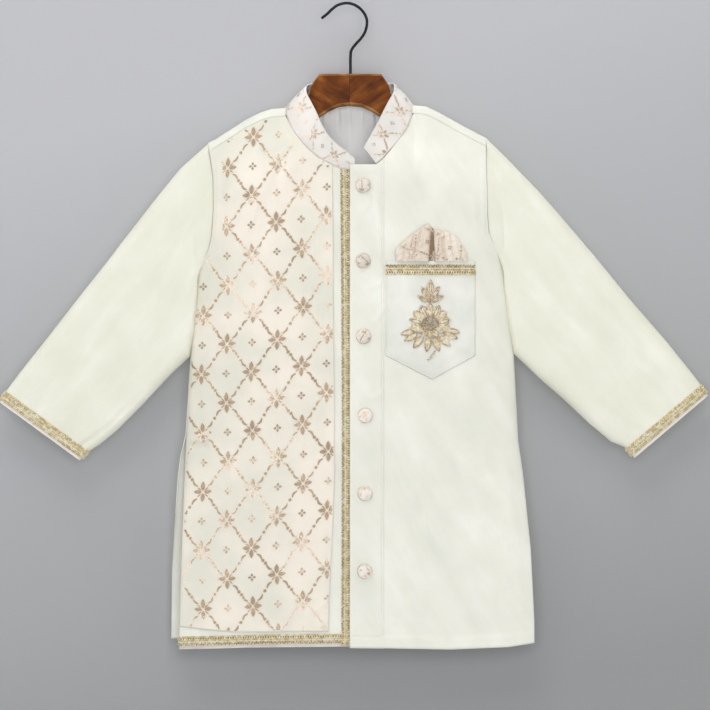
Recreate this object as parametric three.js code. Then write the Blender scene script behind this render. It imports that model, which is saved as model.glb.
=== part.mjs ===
// A child's long-sleeved kurta on a wooden hanger with a wire hook.
// Millimetres. +X points to the wearer's left, -Y to the front, +Z up.
// The origin is the inside of the hook's top, where a rail carries it.

import * as THREE from 'three';

// Cloth and gaps
const CLOTH = 1.5;
const TRIM = 1.2;
const GAP = 0.3;
const LIE = 0.45; // between a panel and what is sewn on it
const HALF_SEAM = 0.15;
const SEAM = 0.8; // where curved edges meet, so that their facets stay clear
const OVERLAY_SHORT = 0.7; // share of its last column that the overlay stops short of the armhole
const ARMHOLE_CLEAR = 5.6; // more of it where the overlay turns under the arm

// The body's half depths, measured from the plane of the side seams
const FRONT_CHEST = 30;
const FRONT_HEM = 15;
const BACK_CHEST = 18;
const BACK_HEM = 13;
const CHEST_FALL = 70; // how far below the shoulder the chest reaches its depth
const NECK_RISE = 35; // the shoulder line carried on over the open neck
const SHOULDER_R = 9; // round of the cloth over the hanger's arm
const UNDERARM_ZONE = 14; // height over which the side seam opens into the armhole
const SLIT_TOP = -455;
const SLIT_DEPTH = 8; // half depth of the open slit's edge at the hem
const SLIT_FALL = 150;
const LAP = 3.4; // how far the left front stands proud where it laps the right one
const LAP_FROM = 12;
const LAP_TO = 46;

// Trims
const BRAID = 10;
const BRAID_RIGHT = 6.4; // right edge of the braid down the right front
const BRAID_ROW = 11.5; // the panel's last row, which the hem braid lies on
const FRONT_UNDERLAP = 8;
const FRONT_LEFT_EDGE = 3.5;
const PLACKET_WIDTH = 35.4;
const FACING = 3.4;
const CUFF_EDGE = 4;
const BUTTON_R = 7.5;
const BUTTON_H = 4;

// Hanger and hook
const WIRE_R = 1.5;
const HANGER_CENTRE = 3.6;
const HANGER_HALF = 6.5;
const HANGER_CLEAR = 0.5;

// The two halves of the body, with x as the distance from the centre line
const RIGHT = {
  sign: -1,
  neck: 65,
  tip: -145,
  underarm: -276,
  shoulder: [
    { x: 65, z: -108.1 }, { x: 78, z: -108.9 }, { x: 90, z: -112.7 }, { x: 106, z: -120.8 },
    { x: 122, z: -131.2 }, { x: 137, z: -140.8 }, { x: 146, z: -145 },
  ],
  armhole: [
    { z: -145, x: 144.1 }, { z: -164, x: 141.2 }, { z: -180, x: 138.6 }, { z: -215, x: 138.2 },
    { z: -241, x: 140 }, { z: -252, x: 142.4 }, { z: -264, x: 147 }, { z: -271, x: 151.6 },
    { z: -276, x: 156 },
  ],
  side: [
    { z: -276, x: 156 }, { z: -363, x: 159.8 }, { z: -448, x: 167 }, { z: -472, x: 168.2 },
    { z: -558, x: 171.3 }, { z: -672, x: 174.5 },
  ],
  backSide: [
    { z: -276, x: 156.5 }, { z: -363, x: 160.6 }, { z: -448, x: 168 }, { z: -472, x: 173.6 },
    { z: -495, x: 176.4 }, { z: -527, x: 178.5 }, { z: -591, x: 182.6 }, { z: -672, x: 183.3 },
  ],
  neckline: [
    { x: -9, z: -175 }, { x: 6.4, z: -172 }, { x: 18.4, z: -166.7 }, { x: 30.4, z: -160.1 },
    { x: 42.3, z: -150.5 }, { x: 54.3, z: -136.2 }, { x: 60.2, z: -125 }, { x: 64.4, z: -117.4 },
  ],
};
const LEFT = {
  sign: 1,
  neck: 70,
  tip: -139,
  underarm: -270,
  shoulder: [
    { x: 70, z: -105.2 }, { x: 83, z: -106.4 }, { x: 96, z: -112.7 }, { x: 121, z: -126.6 },
    { x: 136, z: -134.5 }, { x: 146, z: -139.6 },
  ],
  armhole: [
    { z: -139, x: 145 }, { z: -165, x: 144 }, { z: -200, x: 146.4 }, { z: -220, x: 146.6 },
    { z: -241, x: 150.2 }, { z: -257, x: 156.4 }, { z: -270, x: 163.4 },
  ],
  side: [
    { z: -270, x: 163.4 }, { z: -362, x: 174 }, { z: -455, x: 179 }, { z: -490, x: 184 },
    { z: -516, x: 186.6 }, { z: -566, x: 191.6 }, { z: -642, x: 195.4 }, { z: -672, x: 195.4 },
  ],
  backSide: [
    { z: -270, x: 163.4 }, { z: -362, x: 174 }, { z: -455, x: 179 }, { z: -490, x: 182 },
    { z: -566, x: 189 }, { z: -672, x: 192.5 },
  ],
  neckline: [
    { x: 3.5, z: -167.8 }, { x: 30.6, z: -167.8 }, { x: 36.5, z: -163.6 }, { x: 44.8, z: -154.4 },
    { x: 55.5, z: -142.2 }, { x: 63.9, z: -129 }, { x: 68.2, z: -118 }, { x: 69.6, z: -114.5 },
  ],
};

// Edges of what lies on the right front, by height
const BRAID_LEFT = [
  { z: -172, x: -7.2 }, { z: -375, x: -4.4 }, { z: -485, x: -4.2 }, { z: -672, x: -5.2 },
];
const OVERLAY_EDGE = [
  { z: -160, x: -14.6 }, { z: -485, x: -12.2 }, { z: -540, x: -14.2 }, { z: -600, x: -17 },
  { z: -672, x: -19.8 },
];

// Hems, by x
const HEM_RIGHT = [{ x: -180, z: -668.6 }, { x: -98, z: -666.2 }, { x: 10, z: -665 }];
const HEM_LEFT = [
  { x: 3, z: -669.6 }, { x: 108, z: -671.6 }, { x: 169, z: -669.1 }, { x: 196, z: -665 },
];
const HEM_BACK = [{ x: -184, z: -661.2 }, { x: 0, z: -663.5 }, { x: 194, z: -661.5 }];

// The largest soft folds of the front: a ridge from one point to another
const FRONT_FOLDS = [
  { x0: -88, z0: -152, x1: -60, z1: -142, wide: 9, high: 2.6 },
  { x0: -62, z0: -143, x1: -70, z1: -215, wide: 10, high: 2 },
  { x0: -120, z0: -150, x1: -104, z1: -260, wide: 13, high: 1.8 },
  { x0: -140, z0: -290, x1: -60, z1: -420, wide: 20, high: 2.2 },
  { x0: -60, z0: -470, x1: -120, z1: -655, wide: 18, high: 2 },
  { x0: 60, z0: -160, x1: 50, z1: -262, wide: 11, high: 1.8 },
  { x0: 112, z0: -150, x1: 92, z1: -225, wide: 13, high: 1.6 },
  { x0: 60, z0: -412, x1: 149, z1: -640, wide: 18, high: 2.4 },
  { x0: 160, z0: -330, x1: 110, z1: -430, wide: 16, high: 2 },
  { x0: 168, z0: -460, x1: 178, z1: -660, wide: 14, high: 2 },
];
const BACK_FOLDS = [
  { x0: -30, z0: -150, x1: -42, z1: -420, wide: 20, high: 2.2 },
  { x0: 38, z0: -150, x1: 52, z1: -470, wide: 20, high: 2.4 },
  { x0: -110, z0: -200, x1: -70, z1: -640, wide: 22, high: 2.4 },
  { x0: 116, z0: -190, x1: 96, z1: -640, wide: 22, high: 2.2 },
  { x0: 0, z0: -300, x1: 8, z1: -655, wide: 18, high: 1.8 },
];

// Rows round the armhole and every sleeve section, as shares from top to underarm
const SHARES = [0, 0.009, 0.034, 0.0687, 0.19, 0.33, 0.47, 0.61, 0.75, 0.87, 0.94, 0.982, 1];
const ROLL_SHARES = 3; // so many of them lie on the round of the shoulder
const LOWER_ROWS = 14;
const SIDE_COLUMNS = 8; // between the neck's corner and the side
const BACK_NECK_COLUMNS = [0.3, 0.6, 0.85, 0.95];

// Sleeve stations: upper and lower edge of the flat sleeve, and its half depth
const SLEEVE_RIGHT = [
  { ux: 173.3, uz: -171, lx: 160.9, lz: -305, deep: 10.5 },
  { ux: 200.3, uz: -204.2, lx: 163.2, lz: -341, deep: 11 },
  { ux: 225, uz: -236, lx: 167.6, lz: -369.5, deep: 11 },
  { ux: 250, uz: -268.5, lx: 184, lz: -386.5, deep: 10.5 },
  { ux: 281.4, uz: -308.2, lx: 211, lz: -415.5, deep: 9.5 },
  { ux: 313.7, uz: -349.8, lx: 240, lz: -444.5, deep: 8.5 },
  { ux: 338.5, uz: -381, lx: 258, lz: -461, deep: 7.4 },
  { ux: 354.2, uz: -401.8, lx: 267.6, lz: -465.4, deep: 6.6 },
  { ux: 361, uz: -410.8, lx: 274.8, lz: -473.5, deep: 6.3 },
];
const SLEEVE_LEFT = [
  { ux: 166.5, uz: -160, lx: 169.6, lz: -300, deep: 10.5 },
  { ux: 201.1, uz: -195.9, lx: 174, lz: -336, deep: 11 },
  { ux: 223, uz: -220.9, lx: 178.4, lz: -364.5, deep: 11 },
  { ux: 258.5, uz: -262.5, lx: 200, lz: -389, deep: 10.5 },
  { ux: 295.8, uz: -308.2, lx: 226, lz: -411.5, deep: 9.5 },
  { ux: 332, uz: -349.8, lx: 254, lz: -438, deep: 8.5 },
  { ux: 352, uz: -374.5, lx: 276, lz: -458, deep: 7.4 },
  { ux: 368.2, uz: -395.2, lx: 289.8, lz: -461.6, deep: 6.6 },
  { ux: 375.4, uz: -404.2, lx: 297, lz: -470.6, deep: 6.3 },
];

// The collar's seam and top edge, from its front end on the right round the neck
const COLLAR = [
  { sx: 8, sy: -30, sz: -173.4, tx: 9, ty: -27.5, tz: -161.3 },
  { sx: -6.4, sy: -30, sz: -171.4, tx: 0.6, ty: -26.5, tz: -154.1 },
  { sx: -18.4, sy: -29.6, sz: -166, tx: -8.9, ty: -25, tz: -147 },
  { sx: -30.4, sy: -27.4, sz: -159.3, tx: -18.4, ty: -22, tz: -137.4 },
  { sx: -42.3, sy: -23, sz: -149.7, tx: -25.6, ty: -18.5, tz: -125.5 },
  { sx: -53.8, sy: -17.2, sz: -135.4, tx: -31.5, ty: -15.4, tz: -112.4 },
  { sx: -59.6, sy: -12.5, sz: -123.6, tx: -36.8, ty: -13, tz: -102 },
  { sx: -63, sy: -7.6, sz: -113, tx: -41.8, ty: -10, tz: -92 },
  { sx: -63.8, sy: 0, sz: -107.3, tx: -42, ty: 0, tz: -84.6 },
  { sx: -61, sy: 7.6, sz: -109.6, tx: -38, ty: 10, tz: -82 },
  { sx: -44, sy: 12, sz: -111.6, tx: -28, ty: 13.2, tz: -80.5 },
  { sx: 0, sy: 14.6, sz: -112.2, tx: 2, ty: 14.8, tz: -79.5 },
  { sx: 46, sy: 12, sz: -111.6, tx: 34, ty: 13.2, tz: -80.5 },
  { sx: 66, sy: 7.6, sz: -107.4, tx: 45.4, ty: 10, tz: -81 },
  { sx: 69, sy: 0, sz: -104.4, tx: 49.4, ty: 0, tz: -82.6 },
  { sx: 68.4, sy: -7.6, sz: -110.6, tx: 49, ty: -10, tz: -91 },
  { sx: 66.8, sy: -11, sz: -119, tx: 42.6, ty: -13, tz: -102.8 },
  { sx: 62, sy: -15.6, sz: -130.4, tx: 36.5, ty: -15.8, tz: -114.8 },
  { sx: 53.6, sy: -22, sz: -143, tx: 29.3, ty: -19.5, tz: -129 },
  { sx: 44.2, sy: -27.6, sz: -153.2, tx: 23.3, ty: -23.5, tz: -139.7 },
  { sx: 36, sy: -31, sz: -162.4, tx: 19.5, ty: -26.5, tz: -146.5 },
  { sx: 30, sy: -32, sz: -166.6, tx: 17.4, ty: -28, tz: -150.5 },
];
const COLLAR_BULGE = 1.2;

const BUTTONS = [
  { x: 17.2, z: -189.6 }, { x: 17.2, z: -267.9 }, { x: 17.7, z: -346 },
  { x: 19.4, z: -428.1 }, { x: 19.2, z: -508.9 }, { x: 18.9, z: -589.9 },
];

// The patch pocket: straight sides, a point at the bottom, braid along the top
const POCKET = { left: 40.6, right: 133.6, top: -271.2, corner: -366, pointX: 88.8, point: -391 };
const POCKET_RIM = 2.6;
const SQUARE_TOP = [
  { x: 50.6, z: -257.6 }, { x: 54, z: -255 }, { x: 64, z: -246 }, { x: 74, z: -237 },
  { x: 84.2, z: -229.4 }, { x: 90.5, z: -238 }, { x: 99.2, z: -236.2 }, { x: 113.5, z: -242 },
  { x: 119, z: -250 }, { x: 125.2, z: -258.8 },
];
const SQUARE_FOOT = -266.6;
const MOTIF = { x: 86.6, z: -334, petals: 10, inner: 15, outer: 23, high: 1.6 };
const MOTIF_LEAVES = [
  { at: 90, reach: 44, wide: 0.26 },
  { at: 62, reach: 36, wide: 0.22 },
  { at: 118, reach: 36, wide: 0.22 },
  { at: 212, reach: 31, wide: 0.24 },
  { at: 242, reach: 33, wide: 0.24 },
  { at: 270, reach: 35, wide: 0.22 },
  { at: 298, reach: 33, wide: 0.24 },
  { at: 328, reach: 31, wide: 0.24 },
];

// Hanger sections from its centre out: top, bottom and half thickness
const HANGER = [
  { x: 0, top: -72.4, bottom: -105.7, half: 7 },
  { x: 12, top: -72.4, bottom: -107, half: 7 },
  { x: 22, top: -72.4, bottom: -111.5, half: 7 },
  { x: 31, top: -73, bottom: -117.5, half: 7 },
  { x: 36, top: -76.6, bottom: -121, half: 6.8 },
  { x: 40, top: -84.5, bottom: -124, half: 6.2 },
  { x: 42.4, top: -93, bottom: -126, half: 6.2 },
  { x: 50, top: -103, bottom: -131, half: 6.6 },
  { x: 58, top: -111.4, bottom: -135, half: 6.5 },
];
const ARM_BLEND = 10; // from the yoke's last section to the arm's first
const ARM_END = 137;
const ARM_STEPS = 6;
const ARM_BOTTOM = { near: -138, far: -162 };

const HOOK = [
  { x: -25.3, z: -13.8 }, { x: -20.3, z: -9.8 }, { x: -15.3, z: -5 }, { x: -8.6, z: -0.4 },
  { x: 0, z: 1.5 }, { x: 8.2, z: -0.4 }, { x: 15.4, z: -5.6 }, { x: 20, z: -12.6 },
  { x: 21.2, z: -19.6 }, { x: 19.4, z: -28 }, { x: 15.4, z: -34.8 }, { x: 9.6, z: -41.2 },
  { x: 5.2, z: -47.4 }, { x: 4, z: -54 }, { x: 4, z: -72.1 },
];

const v3 = (x, y, z) => new THREE.Vector3(x, y, z);
const lerp = THREE.MathUtils.lerp;
const clamp = THREE.MathUtils.clamp;
const ease = (q) => THREE.MathUtils.smoothstep(q, 0, 1);
const rad = THREE.MathUtils.degToRad;

// The value of one column of a table at a place in another column
function look(table, from, to, at) {
  const rising = table[table.length - 1][from] > table[0][from];
  const rows = rising ? table : [...table].reverse();
  if (at <= rows[0][from]) return rows[0][to];
  for (let i = 1; i < rows.length; i++) {
    if (at > rows[i][from]) continue;
    const share = (at - rows[i - 1][from]) / (rows[i][from] - rows[i - 1][from]);
    return lerp(rows[i - 1][to], rows[i][to], share);
  }
  return rows[rows.length - 1][to];
}

const zAt = (table, x) => look(table, 'x', 'z', x);
const xAt = (table, z) => look(table, 'z', 'x', z);

// A quarter round: 0 at its edge, 1 from the radius on
function round(distance, radius) {
  const left = 1 - clamp(distance / radius, 0, 1);
  return Math.sqrt(1 - left * left);
}

const halfAt = (x) => (x < 0 ? RIGHT : LEFT);

// The shoulder line, carried on in an arch over the open neck
function shoulderZ(x) {
  const half = halfAt(x);
  const far = Math.abs(x);
  if (far >= half.neck) return zAt(half.shoulder, far);
  const middle = (RIGHT.shoulder[0].z + LEFT.shoulder[0].z) / 2;
  const share = far / half.neck;
  return lerp(middle, half.shoulder[0].z, share) + NECK_RISE * (1 - share * share);
}

// Half width of the body at a height, along its armhole or its side
function edgeX(half, z, back = false) {
  if (z > half.underarm) return xAt(half.armhole, z);
  return xAt(back ? half.backSide : half.side, z);
}

// Half width that the depth is worked out from: the side, carried straight up past the armhole
function fullWidth(half, z, back) {
  return xAt(back ? half.backSide : half.side, Math.min(z, half.underarm));
}

// How far the folds lift the cloth at a point
function foldLift(folds, x, z) {
  let lift = 0;
  for (const f of folds) {
    const dx = f.x1 - f.x0;
    const dz = f.z1 - f.z0;
    const length = Math.hypot(dx, dz);
    const along = ((x - f.x0) * dx + (z - f.z0) * dz) / (length * length);
    const off = ((x - f.x0) * dz - (z - f.z0) * dx) / length;
    const fade = ease(along * 4 + 0.4) * ease((1 - along) * 4 + 0.4);
    lift += f.high * fade * Math.exp(-((off / f.wide) ** 2));
  }
  return lift;
}

// Half depth of the body's front or back at a point, that far below the shoulder line
function bodyDepth(x, z, back = false, below = shoulderZ(x) - z) {
  const half = halfAt(x);
  const lower = ease((half.underarm - z) / (half.underarm - HEM_BACK[1].z));
  const full = back ? lerp(BACK_CHEST, BACK_HEM, lower) : lerp(FRONT_CHEST, FRONT_HEM, lower);
  const start = SHOULDER_R * round(below, SHOULDER_R);
  const centre = start + (full - SHOULDER_R) * ease((below - SHOULDER_R) / CHEST_FALL);
  const edge = SLIT_DEPTH * ease((SLIT_TOP - z) / SLIT_FALL);
  const across = clamp(Math.abs(x) / fullWidth(half, z, back), 0, 1);
  const shape = Math.sqrt(1 - across ** 3);
  const closing = ease((half.tip - z) / (half.tip - half.underarm));
  const open = (1 - shape) * (1 - closing);
  const folds = foldLift(back ? BACK_FOLDS : FRONT_FOLDS, x, z);
  const calm = ease((below - SHOULDER_R) / 30) * (1 - across ** 4);
  return edge + (centre - edge) * shape + start * open + folds * calm;
}

// The left front stands proud along its edge, where it laps over the right one
const lapLift = (x) => LAP * (1 - ease((x - LAP_FROM) / (LAP_TO - LAP_FROM)));

// Unit normals of a grid of points; closed grids join their last column to the first
function gridNormals(grid, closed, flip) {
  const rows = grid.length;
  const columns = grid[0].length;
  return grid.map((row, r) => row.map((p, c) => {
    const up = grid[Math.min(r + 1, rows - 1)][c];
    const down = grid[Math.max(r - 1, 0)][c];
    const next = closed ? (c + 1) % columns : Math.min(c + 1, columns - 1);
    const last = closed ? (c + columns - 1) % columns : Math.max(c - 1, 0);
    const along = row[next].clone().sub(row[last]);
    const normal = up.clone().sub(down).cross(along).normalize();
    return flip ? normal.negate() : normal;
  }));
}

// A closed wall between two copies of a grid, moved along its normals.
// hold keeps a moved point inside the piece's own space, and keep says which cells are cloth.
function wallOf(grid, { from, to, closed = false, flip = false, hold = (p) => p, keep = () => true }) {
  const normals = gridNormals(grid, closed, flip);
  const sides = [to, from].map((reach) => grid.map((row, r) => (
    row.map((p, c) => hold(p.clone().addScaledVector(normals[r][c], reach)))
  )));
  return closeWall(sides, closed, keep);
}

// The faces of a wall between an outer and an inner grid of the same size
function closeWall([outer, inner], closed = false, keep = () => true) {
  const rows = outer.length;
  const columns = outer[0].length;
  const points = [];
  const faces = [];
  const numbers = new Map();
  const at = (side, r, c) => {
    const key = (side * rows + r) * columns + (c % columns);
    if (!numbers.has(key)) {
      numbers.set(key, points.length);
      points.push((side ? inner : outer)[r][c % columns]);
    }
    return numbers.get(key);
  };
  const quad = (a, b, c, d) => faces.push(a, b, c, a, c, d);
  const lastColumn = closed ? columns : columns - 1;
  const cloth = (r, c) => {
    const turned = closed ? (c + columns) % columns : c;
    return r >= 0 && r < rows - 1 && turned >= 0 && turned < lastColumn && keep(r, turned);
  };
  for (let r = 0; r < rows - 1; r++) {
    for (let c = 0; c < lastColumn; c++) {
      if (!cloth(r, c)) continue;
      quad(at(0, r, c), at(0, r, c + 1), at(0, r + 1, c + 1), at(0, r + 1, c));
      quad(at(1, r, c), at(1, r + 1, c), at(1, r + 1, c + 1), at(1, r, c + 1));
      const close = (r1, c1, r2, c2) => (
        quad(at(0, r1, c1), at(1, r1, c1), at(1, r2, c2), at(0, r2, c2))
      );
      if (!cloth(r - 1, c)) close(r, c, r, c + 1);
      if (!cloth(r, c + 1)) close(r, c + 1, r + 1, c + 1);
      if (!cloth(r + 1, c)) close(r + 1, c + 1, r + 1, c);
      if (!cloth(r, c - 1)) close(r + 1, c, r, c);
    }
  }
  return solid(points, faces);
}

// A closed geometry whose faces point out
function solid(points, faces) {
  let volume = 0;
  for (let i = 0; i < faces.length; i += 3) {
    const [a, b, c] = [points[faces[i]], points[faces[i + 1]], points[faces[i + 2]]];
    volume += a.dot(b.clone().cross(c));
  }
  const turned = [...faces];
  if (volume < 0) {
    for (let i = 0; i < faces.length; i += 3) {
      turned[i + 1] = faces[i + 2];
      turned[i + 2] = faces[i + 1];
    }
  }
  const geometry = new THREE.BufferGeometry().setFromPoints(points);
  geometry.setIndex(turned);
  geometry.computeVertexNormals();
  return geometry;
}

// y of a faceted grid under a point seen from the front
function gridY(grid, x, z) {
  const inside = (a, b, c) => {
    const det = (b.x - a.x) * (c.z - a.z) - (c.x - a.x) * (b.z - a.z);
    if (Math.abs(det) < 1e-9) return null;
    const s = ((x - a.x) * (c.z - a.z) - (c.x - a.x) * (z - a.z)) / det;
    const t = ((b.x - a.x) * (z - a.z) - (x - a.x) * (b.z - a.z)) / det;
    if (s < -1e-6 || t < -1e-6 || s + t > 1 + 1e-6) return null;
    return a.y + s * (b.y - a.y) + t * (c.y - a.y);
  };
  for (let r = 0; r < grid.length - 1; r++) {
    for (let c = 0; c < grid[0].length - 1; c++) {
      const [a, b] = [grid[r][c], grid[r][c + 1]];
      const [d, e] = [grid[r + 1][c + 1], grid[r + 1][c]];
      const y = inside(a, b, d) ?? inside(a, d, e);
      if (y !== null) return y;
    }
  }
  throw new Error(`no cloth under ${x.toFixed(1)}, ${z.toFixed(1)}`);
}

// A piece that lies on the front: columns of x and z, and how far it stands off the cloth
function lyingOn(grid, plan, from, to) {
  const highAt = (reach, p) => (typeof reach === 'function' ? reach(p.x, p.z) : reach);
  return closeWall([to, from].map((reach) => plan.map((row) => row.map((p) => (
    v3(p.x, gridY(grid, p.x, p.z) - highAt(reach, p), p.z)
  )))));
}

const pieces = new THREE.Group();

function add(name, geometry, material) {
  const mesh = new THREE.Mesh(geometry, material);
  mesh.name = name;
  pieces.add(mesh);
  return mesh;
}

const finish = (color, roughness, metalness = 0) => (
  new THREE.MeshStandardMaterial({ color, roughness, metalness })
);
const CREAM = finish('#efeee6', 0.62);
const SLEEVE_CREAM = finish('#ebebde', 0.62);
const WHITE = finish('#eeeeee', 0.7);
const BROCADE = finish('#ecdfd2', 0.55);
const GOLD = finish('#c8b08c', 0.4, 0.6);
const WOOD = finish('#7f4a22', 0.35);
const WIRE = finish('#15151a', 0.35, 0.7);

// Heights of a front panel's rows down one column, from its top edge to its hem
function frontRows(half, top, hem) {
  const first = SHARES[ROLL_SHARES];
  const upper = SHARES.slice(ROLL_SHARES).map((s) => (
    lerp(top, half.underarm, (s - first) / (1 - first))
  ));
  const lastRow = hem + BRAID_ROW;
  const lower = [];
  for (let i = 1; i <= LOWER_ROWS; i++) lower.push(lerp(half.underarm, lastRow, i / LOWER_ROWS));
  return [...upper, ...lower, hem];
}

// A front panel's grid. frontX lists the first columns; the rest close up towards the side.
function frontGrid(half, frontX, lift, hemTable) {
  const seamDrop = SHOULDER_R + 1.25 * SEAM;
  const rowCount = frontRows(half, 0, -600).length;
  const columnX = (k, z) => {
    const side = half.sign * (edgeX(half, z) - (z > half.underarm ? SEAM : 0));
    if (k < frontX.length) return frontX[k](z);
    const share = Math.sin((Math.PI / 2) * ((k - frontX.length + 1) / SIDE_COLUMNS));
    return lerp(frontX[frontX.length - 1](z), side, share);
  };
  const topOf = (k) => {
    let z = half.tip;
    for (let i = 0; i < 12; i++) {
      const x = columnX(k, z);
      const far = x * half.sign;
      z = far < half.neckline.at(-1).x ? zAt(half.neckline, far) : shoulderZ(x) - seamDrop;
    }
    return z;
  };
  const columnCount = frontX.length + SIDE_COLUMNS;
  const columns = [];
  for (let k = 0; k < columnCount; k++) {
    const hemX = columnX(k, hemTable[0].z);
    const heights = frontRows(half, topOf(k), zAt(hemTable, hemX));
    columns.push(heights.map((z) => {
      const x = columnX(k, z);
      return v3(x, -(bodyDepth(x, z) + lift(x) + HALF_SEAM), z);
    }));
  }
  return Array.from({ length: rowCount }, (_, r) => columns.map((column) => column[r]));
}

const inFront = (p) => p.setY(Math.min(p.y, -HALF_SEAM));
const behind = (p) => p.setY(Math.max(p.y, HALF_SEAM));

// The right front: plain base, brocade overlay, braid down its edge and along its hem
const rightX = [
  () => FRONT_UNDERLAP,
  (z) => xAt(BRAID_LEFT, z) - 0.6,
  (z) => xAt(OVERLAY_EDGE, z),
  ...RIGHT.neckline.slice(3).map((p) => () => -p.x),
];
const rightGrid = frontGrid(RIGHT, rightX, () => 0, HEM_RIGHT);
add('front_right_base', wallOf(rightGrid, { from: -CLOTH, to: 0, flip: true, hold: inFront }), CREAM);

const overlayGrid = rightGrid.slice(0, -1).map((row) => row.slice(2).map((p) => p.clone()));
for (const row of overlayGrid) {
  if (row[0].z < RIGHT.underarm - 2 * UNDERARM_ZONE) continue;
  row.at(-1).lerp(row.at(-2), OVERLAY_SHORT);
}
const overOverlay = { from: GAP, to: GAP + TRIM, flip: true, hold: inFront };
add('front_right_overlay', wallOf(overlayGrid, overOverlay), BROCADE);

const braidRows = rightGrid.slice(0, -1).map((row) => {
  const z = row[0].z;
  const edge = xAt(BRAID_LEFT, z);
  return [0, 0.5, 1].map((share) => (
    { x: lerp(edge, BRAID_RIGHT, share), z: lerp(row[1].z, z, share) }
  ));
});
braidRows[0].forEach((p) => { p.z -= TRIM; });
add('braid_front', lyingOn(rightGrid, braidRows, LIE, LIE + TRIM), GOLD);

const hemRow = rightGrid.at(-1);
const aboveHem = rightGrid.at(-2);
const onHem = (share) => hemRow.map((p, c) => p.clone().lerp(aboveHem[c], share));
const hemBraid = [onHem(BRAID / BRAID_ROW), onHem(GAP / BRAID_ROW)];
add('braid_hem', wallOf(hemBraid, { from: GAP, to: GAP + TRIM, flip: true }), GOLD);
const facingTop = hemRow.map((p) => v3(p.x, p.y, p.z - GAP));
const facingFoot = hemRow.map((p) => v3(p.x, p.y, p.z - GAP - FACING));
add('hem_facing', wallOf([facingTop, facingFoot], { from: -TRIM, to: 0, flip: true }), WHITE);

// The left front and its placket
const leftX = [
  () => FRONT_LEFT_EDGE,
  () => LEFT.neckline[1].x,
  () => FRONT_LEFT_EDGE + PLACKET_WIDTH,
  ...LEFT.neckline.slice(4).map((p) => () => p.x),
];
const leftGrid = frontGrid(LEFT, leftX, lapLift, HEM_LEFT);
add('front_left', wallOf(leftGrid, { from: -CLOTH, to: 0, hold: inFront }), CREAM);
const placketGrid = leftGrid.map((row) => row.slice(0, 3));
add('placket', wallOf(placketGrid, { from: GAP, to: GAP + TRIM }), CREAM);

// The back, which rolls forward over both shoulders to the seams of the fronts
const BACK_NECK = -113;
const ROLL = [-60, -30, 0, 30, 60, 90];

// One column of the back, which runs down at x, or closes up from the neck's corner to the side
function backColumn(half, neckShare, sideShare) {
  const corner = half.neckline.at(-1).x;
  const place = (z) => {
    const edge = edgeX(half, z, true) - (z > half.underarm ? SEAM : 0);
    return half.sign * (neckShare < 1 ? neckShare * corner : lerp(corner, edge, sideShare));
  };
  const topX = Math.max(Math.abs(place(half.tip)), corner) * half.sign;
  const top = shoulderZ(topX);
  const end = neckShare < 1 ? BACK_NECK : top - SHOULDER_R;
  const hem = zAt(HEM_BACK, place(HEM_BACK[1].z));
  const heights = [];
  for (let i = LOWER_ROWS; i > 0; i--) heights.push(lerp(half.underarm, hem, i / LOWER_ROWS));
  const shares = SHARES.slice(ROLL_SHARES).reverse();
  shares.forEach((s) => {
    heights.push(lerp(end, half.underarm, (s - shares.at(-1)) / (1 - shares.at(-1))));
  });
  const column = heights.map((z) => v3(place(z), bodyDepth(place(z), z, true) + HALF_SEAM, z));
  for (const degrees of ROLL) {
    const z = top - SHOULDER_R * (1 - Math.cos(rad(degrees)));
    column.push(v3(place(z), -SHOULDER_R * Math.sin(rad(degrees)), z));
  }
  return column;
}

function backGrid() {
  const halfColumns = (half) => {
    const neck = BACK_NECK_COLUMNS.map((share) => backColumn(half, share, 0));
    const side = [];
    for (let k = 0; k <= SIDE_COLUMNS; k++) {
      side.push(backColumn(half, 1, Math.sin((Math.PI / 2) * (k / SIDE_COLUMNS))));
    }
    return [...neck, ...side];
  };
  const columns = [...halfColumns(RIGHT).reverse(), backColumn(LEFT, 0, 0), ...halfColumns(LEFT)];
  return columns[0].map((_, r) => columns.map((column) => column[r]));
}

const wholeBack = backGrid();
const rollStart = wholeBack.length - 1 - ROLL.length;
const onShoulder = (r, c) => (
  r < rollStart || c < SIDE_COLUMNS || c >= wholeBack[0].length - 1 - SIDE_COLUMNS
);
const keepBehind = (p) => (p.z < RIGHT.underarm + UNDERARM_ZONE ? behind(p) : p);
add('back', wallOf(wholeBack, { from: -CLOTH, to: 0, hold: keepBehind, keep: onShoulder }), CREAM);

// The lining that shows through the neck, inside the back
const LINING = { left: -44, right: 49, top: -116, foot: -205, columns: 10, rows: 5 };
const liningPlan = Array.from({ length: LINING.rows + 1 }, (_, r) => (
  Array.from({ length: LINING.columns + 1 }, (_, c) => ({
    x: lerp(LINING.left, LINING.right, c / LINING.columns),
    z: lerp(LINING.top, LINING.foot, r / LINING.rows),
  }))
));
const liningAt = CLOTH + 2 * LIE;
const liningGrid = wholeBack.slice(0, rollStart + 1);
add('back_neck_lining', lyingOn(liningGrid, liningPlan, liningAt, liningAt + TRIM), WHITE);

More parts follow.
